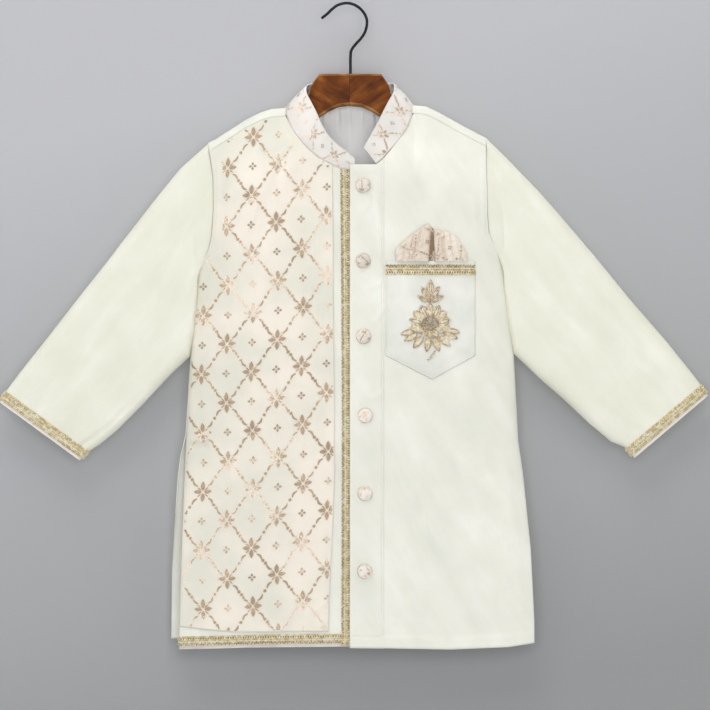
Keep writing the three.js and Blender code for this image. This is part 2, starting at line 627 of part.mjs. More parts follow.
// Points round one sleeve section, from its upper edge over the front to its lower edge and back
function sleeveRing(half, stations, at) {
  const first = {
    ux: xAt(half.armhole, half.tip),
    uz: half.tip,
    lx: xAt(half.armhole, half.underarm),
    lz: half.underarm,
    deep: SHOULDER_R,
  };
  const all = [first, ...stations];
  const i = Math.min(Math.floor(at), all.length - 2);
  const share = at - i;
  const mix = (key) => lerp(all[i][key], all[i + 1][key], share);
  const upper = v3(mix('ux') + GAP, 0, mix('uz'));
  const lower = v3(mix('lx') + GAP, 0, mix('lz'));
  const chord = upper.distanceTo(lower);
  const start = 1 - ease(at);
  const bow = 1 - ease(at / 2);
  const ring = [];
  const point = (s, side) => {
    const z = lerp(first.uz, first.lz, s);
    const swing = xAt(half.armhole, z) - lerp(first.ux, first.lx, s);
    const p = upper.clone().lerp(lower, s);
    const deep = mix('deep');
    const soft = deep * round(s * chord, deep * 1.2) * round((1 - s) * chord, deep * 1.2);
    const swell = 1 + 0.12 * Math.sin(Math.PI * s);
    p.x += swing * bow + ARMHOLE_CLEAR * start * ease((s - 0.75) / 0.15);
    const seamX = half.sign * (xAt(half.armhole, z) - SEAM);
    const atSeam = s === 0 || s === 1 ? 0 : bodyDepth(seamX, z, side > 0, half.tip - z);
    p.y = side * lerp(soft * swell, atSeam, start);
    p.x *= half.sign;
    return p;
  };
  SHARES.forEach((s) => ring.push(point(s, -1)));
  SHARES.slice(1, -1).reverse().forEach((s) => ring.push(point(s, 1)));
  return ring;
}

const SLEEVE_RINGS = [0, 0.25, 0.5, 1, 1.5, 2, 2.5, 3, 3.5, 4, 5, 6, 7, 8, 9];

function addSleeve(side, half, stations) {
  const rings = SLEEVE_RINGS.map((at) => sleeveRing(half, stations, at));
  const flip = half.sign > 0;
  add(`sleeve_${side}`, wallOf(rings, { from: -CLOTH, to: 0, closed: true, flip }), SLEEVE_CREAM);
  const [near, end] = [rings.at(-2), rings.at(-1)];
  const between = (share) => end.map((p, c) => p.clone().lerp(near[c], share));
  const braid = [between(BRAID / BRAID_ROW), between(0.02)];
  add(`braid_cuff_${side}`, wallOf(braid, { from: GAP, to: GAP + TRIM, closed: true, flip }), GOLD);
  const edge = [between(-GAP / BRAID_ROW), between(-(GAP + CUFF_EDGE) / BRAID_ROW)];
  add(`cuff_lining_${side}`, wallOf(edge, { from: -CLOTH, to: -0.2, closed: true, flip }), WHITE);
}

addSleeve('right', RIGHT, SLEEVE_RIGHT);
addSleeve('left', LEFT, SLEEVE_LEFT);

// The stand collar: seam, middle and top edge at each station
const collarGrid = [0, 0.5, 1].map((h) => COLLAR.map((s) => {
  const seam = v3(s.sx, s.sy, s.sz);
  const top = v3(s.tx, s.ty, s.tz);
  seam.add(top.clone().sub(seam).setLength(SEAM));
  const p = seam.lerp(top, h);
  const bulge = COLLAR_BULGE * Math.sin(Math.PI * h);
  p.x += bulge * Math.sign(s.sx) * Math.min(1, Math.abs(s.sx) / 60);
  p.y += bulge * Math.sign(s.sy);
  return p;
}));
add('collar', wallOf(collarGrid, { from: -CLOTH, to: 0 }), BROCADE);

// The pocket, its braid, the square in it and the raised flower on it
const POCKET_COLUMNS = 8;
const POCKET_ROWS = 8;
const pocketPlan = Array.from({ length: POCKET_ROWS + 1 }, (_, r) => (
  Array.from({ length: POCKET_COLUMNS + 1 }, (_, c) => {
    const x = lerp(POCKET.left, POCKET.right, c / POCKET_COLUMNS);
    const across = x < POCKET.pointX
      ? (x - POCKET.left) / (POCKET.pointX - POCKET.left)
      : (POCKET.right - x) / (POCKET.right - POCKET.pointX);
    const foot = lerp(POCKET.corner, POCKET.point, across);
    return { x, z: lerp(POCKET.top, foot, r / POCKET_ROWS) };
  })
));
const pocketOff = 2 * LIE;
add('pocket', lyingOn(leftGrid, pocketPlan, pocketOff, pocketOff + TRIM), WHITE);

const braidPlan = [POCKET.top - POCKET_RIM, POCKET.top - POCKET_RIM - BRAID].map((z) => (
  Array.from({ length: POCKET_COLUMNS + 1 }, (_, c) => (
    { x: lerp(POCKET.left, POCKET.right, c / POCKET_COLUMNS), z }
  ))
));
const onPocket = pocketOff + TRIM + LIE;
add('braid_pocket', lyingOn(leftGrid, braidPlan, onPocket, onPocket + TRIM), GOLD);

const SQUARE_COLUMNS = 18;
const SQUARE_ROWS = 5;
const SQUARE_PLEATS = 5;
const SQUARE_DEEP = 2.4;
const SQUARE_FOLD = 1.1;
const squarePlan = Array.from({ length: SQUARE_ROWS + 1 }, (_, r) => (
  Array.from({ length: SQUARE_COLUMNS + 1 }, (_, c) => {
    const x = lerp(SQUARE_TOP[0].x, SQUARE_TOP.at(-1).x, c / SQUARE_COLUMNS);
    return { x, z: lerp(SQUARE_FOOT, zAt(SQUARE_TOP, x), r / SQUARE_ROWS) };
  })
));
const squareFold = (x) => {
  const share = (x - SQUARE_TOP[0].x) / (SQUARE_TOP.at(-1).x - SQUARE_TOP[0].x);
  return pocketOff + SQUARE_DEEP + SQUARE_FOLD * Math.cos(2 * Math.PI * SQUARE_PLEATS * share);
};
add('pocket_square', lyingOn(leftGrid, squarePlan, pocketOff, squareFold), BROCADE);

// The flower's outline: petals round a middle, with longer leaves above and below
function motifRadius(angle) {
  const petal = (1 - Math.abs(Math.cos((MOTIF.petals * angle) / 2))) ** 0.7;
  let radius = lerp(MOTIF.outer, MOTIF.inner, petal);
  for (const leaf of MOTIF_LEAVES) {
    let turn = Math.abs(angle - rad(leaf.at));
    turn = Math.min(turn, 2 * Math.PI - turn);
    const lobe = Math.cos(Math.min(turn / leaf.wide, 1) * (Math.PI / 2));
    radius = Math.max(radius, leaf.reach * lobe ** 0.6);
  }
  return radius;
}

const MOTIF_SPOKES = 60;
const MOTIF_RINGS = [0.12, 0.4, 0.75, 1];
const MOTIF_HEIGHTS = [1, 0.6, 0.9, 0.45];

function motifGeometry() {
  const points = [];
  const faces = [];
  for (const [base, height] of [[0, MOTIF_HEIGHTS], [MOTIF_RINGS.length, null]]) {
    MOTIF_RINGS.forEach((share, k) => {
      for (let i = 0; i < MOTIF_SPOKES; i++) {
        const angle = (2 * Math.PI * i) / MOTIF_SPOKES;
        const radius = motifRadius(angle) * share;
        const x = MOTIF.x + radius * Math.cos(angle);
        const z = MOTIF.z + radius * Math.sin(angle);
        const high = onPocket + (height ? MOTIF.high * height[k] : 0);
        points.push(v3(x, gridY(leftGrid, x, z) - high, z));
      }
    });
    const at = (k, i) => (base + k) * MOTIF_SPOKES + (i % MOTIF_SPOKES);
    for (let k = 0; k < MOTIF_RINGS.length - 1; k++) {
      for (let i = 0; i < MOTIF_SPOKES; i++) {
        const corners = [at(k, i), at(k + 1, i), at(k + 1, i + 1), at(k, i + 1)];
        if (!height) corners.reverse();
        faces.push(corners[0], corners[1], corners[2], corners[0], corners[2], corners[3]);
      }
    }
    for (let i = 1; i < MOTIF_SPOKES - 1; i++) {
      const fan = [at(0, 0), at(0, i), at(0, i + 1)];
      faces.push(...(height ? fan : fan.reverse()));
    }
  }
  const rim = (MOTIF_RINGS.length - 1) * MOTIF_SPOKES;
  const under = rim + MOTIF_RINGS.length * MOTIF_SPOKES;
  for (let i = 0; i < MOTIF_SPOKES; i++) {
    const next = (i + 1) % MOTIF_SPOKES;
    faces.push(rim + i, under + i, under + next, rim + i, under + next, rim + next);
  }
  return solid(points, faces);
}

add('pocket_motif', motifGeometry(), GOLD);

// Six covered buttons on the placket
const domeProfile = [
  [0, BUTTON_H], [BUTTON_R * 0.45, BUTTON_H * 0.9], [BUTTON_R * 0.8, BUTTON_H * 0.62],
  [BUTTON_R, BUTTON_H * 0.22], [BUTTON_R * 0.92, 0], [0, 0],
].map(([r, h]) => new THREE.Vector2(r, h)).reverse();
const BUTTON_SIDES = 16;

BUTTONS.forEach((place, i) => {
  const dome = new THREE.LatheGeometry(domeProfile, BUTTON_SIDES);
  dome.rotateX(Math.PI);
  const button = add(`button_${i + 1}`, dome, BROCADE);
  const under = [0, 1, 2, 3, 4, 5, 6, 7].map((k) => {
    const turn = (k * Math.PI) / 4;
    return gridY(leftGrid, place.x + BUTTON_R * Math.cos(turn), place.z + BUTTON_R * Math.sin(turn));
  });
  button.position.set(place.x, Math.min(...under) - GAP - TRIM - LIE, place.z);
});

// The hanger: one board lofted from section to section, its arms under the shoulders
function hangerSections() {
  const list = [];
  for (const side of [-1, 1]) {
    const half = side < 0 ? RIGHT : LEFT;
    const start = HANGER.at(-1).x + ARM_BLEND;
    const rows = HANGER.map((s) => ({ ...s, x: HANGER_CENTRE + side * s.x }));
    for (let i = 0; i <= ARM_STEPS; i++) {
      const far = lerp(start, ARM_END, i / ARM_STEPS);
      const inside = CLOTH + HANGER_CLEAR;
      const slope = (zAt(half.shoulder, far + 4) - zAt(half.shoulder, far - 4)) / 8;
      rows.push({
        x: side * far,
        top: zAt(half.shoulder, Math.max(far, half.neck)) - inside * Math.hypot(1, slope),
        bottom: lerp(ARM_BOTTOM.near, ARM_BOTTOM.far, i / ARM_STEPS),
        half: HANGER_HALF,
      });
    }
    list.push(...(side < 0 ? rows.reverse() : rows.slice(1)));
  }
  return list;
}

// Points round one section: a half-round top and a softly rounded foot
function hangerSection({ x, top, bottom, half }) {
  const ring = [];
  for (let i = 0; i <= 6; i++) {
    const turn = Math.PI * (i / 6);
    ring.push(v3(x, -half * Math.cos(turn), top - half + half * Math.sin(turn)));
  }
  const soft = 3;
  ring.push(v3(x, half, bottom + soft));
  ring.push(v3(x, half - soft, bottom));
  ring.push(v3(x, soft - half, bottom));
  ring.push(v3(x, -half, bottom + soft));
  return ring;
}

// A closed loft through rings of equal length, with flat ends
function loft(rings) {
  const points = rings.flat();
  const faces = [];
  const n = rings[0].length;
  for (let r = 0; r < rings.length - 1; r++) {
    for (let c = 0; c < n; c++) {
      const [a, b] = [r * n + c, r * n + ((c + 1) % n)];
      faces.push(a, b, b + n, a, b + n, a + n);
    }
  }
  const last = (rings.length - 1) * n;
  for (let c = 1; c < n - 1; c++) faces.push(0, c + 1, c, last, last + c, last + c + 1);
  return solid(points, faces);
}

add('hanger_wood', loft(hangerSections().map(hangerSection)), WOOD);

// The hook: one bent wire
const hookLine = new THREE.CatmullRomCurve3(HOOK.map((p) => v3(p.x, 0, p.z)), false, 'centripetal');
const wireSection = new THREE.Shape();
wireSection.absarc(0, 0, WIRE_R, 0, Math.PI * 2);
const bend = { steps: 40, curveSegments: 4, extrudePath: hookLine };
add('hanger_hook', new THREE.ExtrudeGeometry(wireSection, bend), WIRE);

export default pieces;
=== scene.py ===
"""The looks of a child's kurta on a wooden hanger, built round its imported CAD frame.

Lengths are millimetres in the row frame, and become metres where a mesh is made.
+X is the wearer's left, -Y the front, +Z up, and the origin is the inside of the hook's top.
"""

import math

import bpy
import numpy as np
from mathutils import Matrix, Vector


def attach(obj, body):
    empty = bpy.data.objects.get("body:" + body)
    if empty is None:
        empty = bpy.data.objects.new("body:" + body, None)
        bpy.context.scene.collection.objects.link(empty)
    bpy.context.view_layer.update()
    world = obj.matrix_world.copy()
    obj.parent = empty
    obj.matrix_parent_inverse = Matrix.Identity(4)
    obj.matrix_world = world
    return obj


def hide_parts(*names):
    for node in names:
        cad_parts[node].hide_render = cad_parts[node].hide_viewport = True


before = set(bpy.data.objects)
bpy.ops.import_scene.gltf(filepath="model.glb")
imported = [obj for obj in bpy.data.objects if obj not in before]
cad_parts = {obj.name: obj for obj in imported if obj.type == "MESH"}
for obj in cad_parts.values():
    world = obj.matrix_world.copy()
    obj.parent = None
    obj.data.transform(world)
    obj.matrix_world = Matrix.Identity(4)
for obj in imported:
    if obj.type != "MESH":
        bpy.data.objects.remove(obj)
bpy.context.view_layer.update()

MM = 0.001
FAR = 1e9
FORWARD = np.array([0.0, -1.0, 0.0])
BACKWARD = np.array([0.0, 1.0, 0.0])

# Cloth and seams
CLOTH = 0.9
SKIN = 0.15  # keeps the front and the back from touching in the plane of the side seams
LIFT = 0.9  # how far a cloth that lies on another stands off it
SEAM_DROP = 9.05
SEAM_GROOVE = 0.12
SLEEVE_SINK = {"right": (1.8, 10), "left": (2.0, 12)}  # depth by the armhole, and how far it goes
ARMHOLE_GAP = 0.02
SEAM_WIDE = 2.2

# The body's half depths, measured from the plane of the side seams
FRONT_CHEST = 30
FRONT_HEM = 15
BACK_CHEST = 18
BACK_HEM = 13
CHEST_FALL = 70
CALM_TOP = 30  # the folds come in over this much below the shoulder's round
NECK_RISE = 35
SHOULDER_R = 9
SLIT_TOP = -455
SLIT_DEPTH = 8
SLIT_FALL = 150
LAP = 3.4
LAP_FROM = 12
LAP_TO = 46
BACK_NECK = -113
NECK_TUCK = 1.2
HEM_Z = -668.0
HEM_TURN = 12.6
STITCH_IN = 2.6  # from the placket's edge to its stitching

# Trims
BRAID = 10
BRAID_STEP = 0.42  # from one section of a thread to the next
TAPE = 0.5  # the thickness of the tape behind a braid
FACING = 3.4
CUFF_EDGE = 3.2
FRONT_UNDERLAP = 8
FRONT_LEFT_EDGE = 3.5
PLACKET_RIGHT = 38.9
BUTTON_R = 7.5
BUTTON_H = 4

# The threads that a braid is plaited of, each a wave across it
BRAID_STRANDS = [
    # middle, swing, length of a wave, phase, thickness, material number
    (1.5, 1.1, 3.8, 0.0, 0.46, 0), (1.5, 1.1, 3.8, 0.5, 0.46, 2),
    (7.3, 2.0, 5.2, 0.0, 0.62, 0), (7.3, 2.0, 5.2, 0.5, 0.62, 0),
    (7.3, 0.7, 2.6, 0.25, 0.4, 2),
]

# The two halves of the body. Shoulder and neckline give z by x, the others x by z.
RIGHT = {
    "sign": -1,
    "nape_rise": 4.4,
    "neck": 65,
    "tip": -145,
    "underarm": -276,
    "shoulder": [
        (65, -108.1), (78, -108.9), (90, -112.7), (106, -120.8), (122, -131.2), (137, -140.8),
        (146, -145),
    ],
    "armhole": [
        (-145, 144.1), (-164, 141.2), (-180, 138.6), (-215, 138.2), (-241, 140), (-252, 142.4),
        (-264, 147), (-271, 151.6), (-276, 156),
    ],
    "side": [
        (-276, 156), (-310, 157.6), (-350, 161.2), (-372, 162.8), (-448, 167), (-472, 168.2),
        (-558, 171.3), (-672, 174.5),
    ],
    "back_side": [
        (-276, 156), (-310, 157.6), (-350, 161.2), (-372, 163.2), (-448, 168), (-472, 173.6),
        (-495, 176.4), (-527, 178.5),
        (-591, 182.6), (-672, 183.3),
    ],
    "neckline": [
        (-9, -175), (6.4, -172), (18.4, -166.7), (30.4, -160.1), (42.3, -149.9), (54.3, -134.6),
        (60.2, -122.8), (64.4, -114.8),
    ],
}
LEFT = {
    "sign": 1,
    "nape_rise": 6.8,
    "neck": 70,
    "tip": -139,
    "underarm": -270,
    "shoulder": [
        (70, -105.2), (83, -106.4), (96, -112.7), (121, -126.6), (136, -134.5), (146, -139.6),
    ],
    "armhole": [
        (-139, 145), (-165, 145), (-200, 146), (-220, 146.2), (-238, 147.6), (-252, 153.6),
        (-262, 159), (-270, 163.4),
    ],
    "side": [
        (-270, 163.4), (-362, 174), (-455, 179), (-490, 184), (-516, 186.6), (-566, 191.6),
        (-642, 195.4), (-672, 195.4),
    ],
    "back_side": [
        (-270, 163.4), (-362, 174), (-455, 179), (-490, 182), (-566, 189), (-672, 192.5),
    ],
    "neckline": [
        (3.5, -167.8), (30.6, -167.8), (36.5, -163.6), (44.8, -153.8), (55.5, -140.8),
        (63.9, -127), (68.2, -115.8), (69.6, -112),
    ],
}
BRAID_LEFT = [(-172, -7.2), (-375, -4.4), (-485, -4.2), (-672, -5.2)]
BRAID_RIGHT = 6.4
OVERLAY_EDGE = [(-160, -14.6), (-485, -12.2), (-540, -14.2), (-600, -17), (-672, -19.8)]
OVERLAY_FOOT = [(-176, -648), (-119, -653.5), (-15, -652.6)]
HEM_RIGHT = [(-180, -668.6), (-98, -666.2), (10, -665)]
HEM_LEFT = [(3, -669.6), (108, -671.6), (169, -669.1), (196, -665)]
HEM_BACK = [(-184, -661.2), (0, -663.5), (194, -661.5)]

# Soft folds: half width, height, and the line of (x, z) points that the ridge runs along
FRONT_FOLDS = [
    (9, 2.6, [(-88, -152), (-60, -142)]),
    (10, 2, [(-62, -143), (-70, -215)]),
    (13, 1.8, [(-120, -150), (-104, -260)]),
    (20, 2.2, [(-140, -290), (-60, -420)]),
    (18, 2, [(-60, -470), (-120, -655)]),
    (11, 1.8, [(60, -160), (50, -262)]),
    (13, 1.6, [(112, -150), (92, -225)]),
    (18, 2.4, [(60, -412), (149, -640)]),
    (16, 2, [(160, -330), (110, -430)]),
    (14, 2, [(168, -460), (178, -660)]),
]
BACK_FOLDS = [
    (20, 2.2, [(-30, -150), (-42, -420)]),
    (20, 2.4, [(38, -150), (52, -470)]),
    (22, 2.4, [(-110, -200), (-70, -640)]),
    (22, 2.2, [(116, -190), (96, -640)]),
    (18, 1.8, [(0, -300), (8, -655)]),
]
# Finer ones, which are only modelled here
FINE_FRONT = [
    (5, 1.9, [(-57, -142), (-62, -144), (-78, -173), (-92, -204), (-106, -246)]),
    (4, -1.2, [(-54, -150), (-66, -165), (-79, -204), (-88, -251)]),
    (5, -0.8, [(-98, -128), (-92, -150), (-90, -185)]),
    (5, 0.9, [(-123, -181), (-120, -235), (-125, -298)]),
    (2.8, 1.4, [(-137, -152), (-134.6, -180), (-134.4, -215), (-136.4, -241)]),
    (2.8, 1.3, [(-140, -253), (-150, -269)]),
    (2.6, 1.4, [(143, -148), (142.4, -200), (143, -236)]),
    (2.6, 1.4, [(146, -244), (158, -263)]),
    (6, 0.9, [(-128, -215), (-112, -240), (-104, -275)]),
    (7, 1.0, [(-150, -300), (-128, -330), (-118, -370)]),
    (7, 0.9, [(-111, -308), (-59, -412), (-48, -485)]),
    (5, 0.8, [(-17, -183), (-32, -246), (-38, -308)]),
    (6, -0.6, [(-30, -300), (-24, -420)]),
    (5, 0.9, [(-152, -443), (-121, -485), (-106, -537)]),
    (3, 5.0, [(-174, -452), (-158, -455), (-142, -451)]),
    (3.4, -3.6, [(-174, -460), (-158, -463), (-144, -460)]),
    (6, 0.9, [(-150, -470), (-158, -560), (-160, -640)]),
    (4, 1.1, [(-17, -620), (-36, -633), (-42, -649)]),
    (5, 0.9, [(-48, -610), (-59, -631), (-65, -651)]),
    (3, 0.8, [(6, -174), (33, -174)]),
    (3.4, 0.9, [(29, -182), (34, -225), (39, -268)]),
    (3, 0.6, [(9, -246), (12, -220), (26, -209)]),
    (3.4, 0.9, [(40, -288), (30, -294), (20, -298)]),
    (3, 0.8, [(26, -334), (35, -324), (45, -308)]),
    (4, 0.8, [(26, -412), (39, -402)]),
    (6, 0.9, [(84, -120), (76, -150), (70, -190)]),
    (5, 0.9, [(82, -152), (113, -194), (149, -246)]),
    (4, -0.8, [(100, -150), (128, -184), (146, -214)]),
    (6, 1.2, [(132, -190), (138, -235), (150, -275)]),
    (6, 1.0, [(139, -308), (160, -360), (144, -397)]),
    (4.5, 1.0, [(56, -454), (108, -537), (160, -615)]),
    (4, 0.9, [(40, -454), (76, -516), (97, -579)]),
    (5, 0.9, [(71, -433), (128, -495), (175, -537)]),
    (5, -0.7, [(52, -470), (84, -550), (104, -640)]),
    (5, 2.4, [(165, -475), (180, -579), (186, -651)]),
]
FINE_BACK = [
    (7, 0.8, [(-60, -130), (-20, -138), (24, -138), (64, -128)]),
    (8, 0.9, [(-130, -250), (-100, -330), (-84, -420)]),
    (8, 0.9, [(134, -250), (108, -340), (92, -430)]),
    (8, 0.8, [(-30, -480), (-50, -560), (-56, -640)]),
    (8, 0.8, [(40, -500), (62, -580), (70, -650)]),
]

# Low waves of the cloth: height, waves per mm in x and z, and turn
RIPPLES = [
    (0.35, 0.021, 0.034, 0.3), (0.3, -0.045, 0.028, 1.9), (0.2, 0.083, 0.041, 4.1),
    (0.16, 0.031, -0.094, 2.2), (0.1, 0.16, 0.07, 0.8),
]

# Sleeve stations: upper and lower edge of the flat sleeve (x, z, x, z), and its half depth
SLEEVE_RIGHT = [
    (173.3, -171, 154.4, -305, 10.5), (200.3, -204.2, 158, -341, 11),
    (225, -236, 163.4, -367, 11), (250, -268.5, 184, -386.5, 10.5),
    (281.4, -308.2, 211, -415.5, 9.5), (313.7, -349.8, 240, -444.5, 8.5),
    (338.5, -381, 257.2, -458.6, 7.4), (354.2, -401.8, 267.6, -465.4, 6.6),
    (361, -410.8, 274.8, -473.5, 6.3),
]
SLEEVE_LEFT = [
    (166.5, -160, 164, -300, 10.5), (201.1, -195.9, 168.6, -336, 11),
    (223, -220.9, 174, -364, 11), (258.5, -262.5, 200, -389, 10.5),
    (295.8, -308.2, 226, -411.5, 9.5), (332, -349.8, 254, -438, 8.5),
    (352, -374.5, 275.4, -455.8, 7.4), (368.2, -395.2, 289.8, -461.6, 6.6),
    (375.4, -404.2, 297, -470.6, 6.3),
]
# Sleeve folds: from and to as (share of the length, share of the width), width and height
SLEEVE_FOLDS = {
    "right": [
        ((0.02, 0.2), (0.6, 0.34), 0.07, 1.6), ((0.1, 0.62), (0.75, 0.55), 0.08, 1.5),
        ((0.0, 0.9), (0.3, 0.7), 0.06, 1.4), ((0.45, 0.18), (0.98, 0.22), 0.07, 1.2),
        ((0.5, 0.8), (0.9, 0.74), 0.06, 1.0), ((0.3, 0.42), (0.5, 0.52), 0.05, -0.8),
        ((0.62, 0.93), (1.0, 0.8), 0.05, 1.3), ((0.7, 0.68), (1.0, 0.58), 0.035, 1.0),
        ((0.74, 0.44), (1.0, 0.4), 0.035, 0.9), ((0.05, 0.4), (0.4, 0.48), 0.04, -0.9),
        ((0.5, 0.94), (1.04, 0.9), 0.022, -5.5),
    ],
    "left": [
        ((0.02, 0.3), (0.55, 0.4), 0.08, 1.6), ((0.08, 0.72), (0.62, 0.6), 0.07, 1.5),
        ((0.0, 0.92), (0.32, 0.8), 0.06, 1.5), ((0.4, 0.2), (0.95, 0.28), 0.07, 1.3),
        ((0.55, 0.78), (0.96, 0.66), 0.06, 1.1), ((0.28, 0.5), (0.52, 0.48), 0.05, -0.9),
        ((0.6, 0.92), (0.95, 0.82), 0.05, 1.3), ((0.02, 0.12), (0.35, 0.2), 0.05, 1.2),
        ((0.7, 0.36), (0.97, 0.44), 0.05, -1.0), ((0.8, 0.12), (1.0, 0.18), 0.035, 0.9),
    ],
}

# The collar's seam and top edge, from its front end on the right round the neck
COLLAR = [
    (8, -30, -173.4, 9, -27.5, -161.3), (-6.4, -30, -171.4, 0.6, -26.5, -154.1),
    (-18.4, -29.6, -166, -8.9, -25, -147), (-30.4, -27.4, -159.3, -18.4, -22, -137.4),
    (-42.3, -23, -149.7, -25.6, -18.5, -125.5), (-53.8, -17.2, -135.4, -31.5, -15.4, -112.4),
    (-59.6, -12.5, -123.6, -36.8, -13, -102), (-63, -7.6, -113, -41.8, -10, -92),
    (-63.8, 0, -107.3, -42, 0, -84.6), (-61, 7.6, -109.6, -38, 10, -82),
    (-44, 12, -111.6, -28, 13.2, -80.5), (0, 14.6, -112.2, 2, 14.8, -79.5),
    (46, 12, -111.6, 34, 13.2, -80.5), (66, 7.6, -107.4, 45.4, 10, -81),
    (69, 0, -104.4, 49.4, 0, -82.6), (68.4, -7.6, -110.6, 49, -10, -91),
    (66.8, -11, -119, 42.6, -13, -102.8), (62, -15.6, -130.4, 36.5, -15.8, -114.8),
    (53.6, -22, -143, 29.3, -19.5, -129), (44.2, -27.6, -153.2, 23.3, -23.5, -139.7),
    (36, -31, -162.4, 19.5, -26.5, -146.5), (30, -32, -166.6, 17.4, -28, -150.5),
]
COLLAR_BULGE = 1.2
COLLAR_CLOTH = 1.4
COLLAR_HIGH = 26.0

BUTTONS = [
    (17.2, -189.6), (17.2, -267.9), (17.7, -346), (19.4, -428.1), (19.2, -508.9), (18.9, -589.9),
]
POCKET = {"left": 40.6, "right": 133.6, "top": -267.8, "corner": -366, "point_x": 88.8,
          "point": -391}
POCKET_RIM = 3.6
POCKET_OFF = 1.5
SQUARE_TOP = [
    (50.6, -257.6), (54, -253), (60, -247), (64, -243.4), (74, -236), (80, -231.6),
    (84.2, -229.4), (87.4, -231), (90.5, -235.4), (95, -235), (99.2, -236.2), (107, -238.6),
    (113.5, -242), (119, -249), (125.2, -258.8),
]
SQUARE_FOOT = -268.6
SQUARE_LOBES = [
    # x at the foot, x at the top, half width, height
    (60, 58, 7, 3.0), (72, 74, 8, 4.4), (81, 83, 4, 4.8), (97, 94, 5, 4.6), (108, 104, 6, 4.0),
    (119, 115, 6, 3.2),
]
SQUARE_SLITS = [
    # x at the foot, x at the top, half width, depth
    (88, 89, 1.9, 4.6), (65, 70, 1.2, 2.4), (70, 77, 1.0, 1.8), (58, 62, 1.2, 1.6),
    (102, 99, 1.4, 2.4), (112, 108, 1.2, 1.8), (120, 114, 1.0, 1.4),
]
# Half width of the painted shade along the square's middle slit
SLIT_SHADE_HALF = 3.4

# The brocade's repeat, how far it leans, and how far its figures stand off the cloth
CELL_X = 52.0
CELL_Z = 61.0
TILT = 0.085
FIGURE_OFF = 0.1

# The flower: leaves by direction, length, width and root, and rings of beads
MOTIF_X = 86.6
MOTIF_Z = -334.0
MOTIF_CROWN = [
    (90, 15, 6.6, 13.5), (52, 15.5, 5.6, 9), (128, 15.5, 5.6, 9), (24, 14.5, 5.2, 6),
    (156, 14.5, 5.2, 6),
]
MOTIF_LOWER = [
    (192, 14, 5.4, 17), (208, 15, 6, 15.5), (232, 15, 6.6, 13), (262, 15, 6.4, 11),
    (290, 15, 6.6, 12), (316, 15, 6.4, 14), (338, 15, 6, 15.5), (352, 13, 5, 18),
]
MOTIF_BEADS = [
    # how many, how far from the middle, turn of the first
    (1, 0, 0), (6, 3.0, 0), (12, 5.7, 0.2), (17, 8.3, 0),
]

# Hanger sections from its centre out: x, top, bottom and half thickness
HANGER_CENTRE = 3.6
GLUE_X = 2.9
GLUE_WIDE = 0.3
HANGER = [
    (0, -72.4, -105.7, 7), (12, -72.4, -107, 7), (22, -72.4, -111.5, 7), (32, -72.6, -118, 7),
    (33, -73.4, -118.7, 7), (40.6, -84.6, -124, 6.5), (42.4, -93, -126, 6.5),
    (50, -103, -131, 6.5),
    (58, -111.4, -135, 6.5),
]
ARM_START = 68
ARM_END = 137
ARM_BOTTOM = (-138, -162)
ARM_UNDER = 2
ARM_HALF = 6.5
# Faces round the front's top and bottom edges, which take a lighter wood: painted highlight, with some wear
HIGHLIT_AND_WORN_EDGES = (0, 1, 2, 3, 4, 18, 19, 20, 21, 22)
HOOK = [
    (-25.3, -13.8), (-20.3, -9.8), (-15.3, -5), (-8.6, -0.4), (0, 1.5), (8.2, -0.4),
    (15.4, -5.6), (20, -12.6), (21.2, -19.6), (19.4, -28), (15.4, -34.8), (9.6, -41.2),
    (5.2, -47.4), (4, -54), (4, -72.6),
]
WIRE_R = 1.5

FINE = 260  # how fine the cords' patches of tone and painted glint are


def ease(q):
    q = np.clip(q, 0, 1)
    return q * q * (3 - 2 * q)


def lerp(a, b, q):
    return a + (b - a) * q


def look(table, at):
    """The table's second column where its first is `at`."""
    rows = np.array(sorted(table), float)
    return np.interp(at, rows[:, 0], rows[:, 1])


def quarter(distance, radius):
    """A quarter round: 0 at its edge, 1 from the radius on."""
    left = 1 - np.clip(distance / radius, 0, 1)
    return np.sqrt(1 - left * left)


def bell(distance, width):
    """1 in the middle of a ridge, falling off over its width."""
    return np.exp(-((distance / width) ** 2))


def near(distance, reach):
    """1 at an edge, falling off over the reach."""
    return np.exp(-np.maximum(distance, 0) / reach)


def unit(vectors):
    return vectors / np.maximum(np.linalg.norm(vectors, axis=-1, keepdims=True), 1e-9)


def turns(count):
    return np.linspace(0, 2 * np.pi, count, endpoint=False)


def run_along(path):
    """The length of a path up to each of its points."""
    return np.concatenate([[0], np.cumsum(np.linalg.norm(np.diff(path, axis=0), axis=1))])


def loop_of(ring):
    return np.concatenate([ring, ring[:1]])


def by_half(x, value):
    """value(half) where each x belongs to that half."""
    return np.where(x < 0, value(RIGHT), value(LEFT))


def shoulder_z(x):
    """The shoulder line, carried on in an arch over the open neck."""
    middle = (RIGHT["shoulder"][0][1] + LEFT["shoulder"][0][1]) / 2
    far = np.abs(x)

    def line(half):
        share = np.clip(far / half["neck"], 0, 1)
        arch = lerp(middle, half["shoulder"][0][1], share) + NECK_RISE * (1 - share * share)
        return np.where(far >= half["neck"], look(half["shoulder"], far), arch)

    return by_half(x, line)


def edge_x(half, z, back=False):
    """Half width of the body at a height, along its armhole or its side."""
    side = look(half["back_side" if back else "side"], z)
    return np.where(z > half["underarm"], look(half["armhole"], z), side)


def top_z(half, x, far):
    """Height of a front's top edge, along the neckline or the shoulder's seam."""
    return np.where(far < half["neckline"][-1][0], look(half["neckline"], far),
                    shoulder_z(x) - SEAM_DROP)


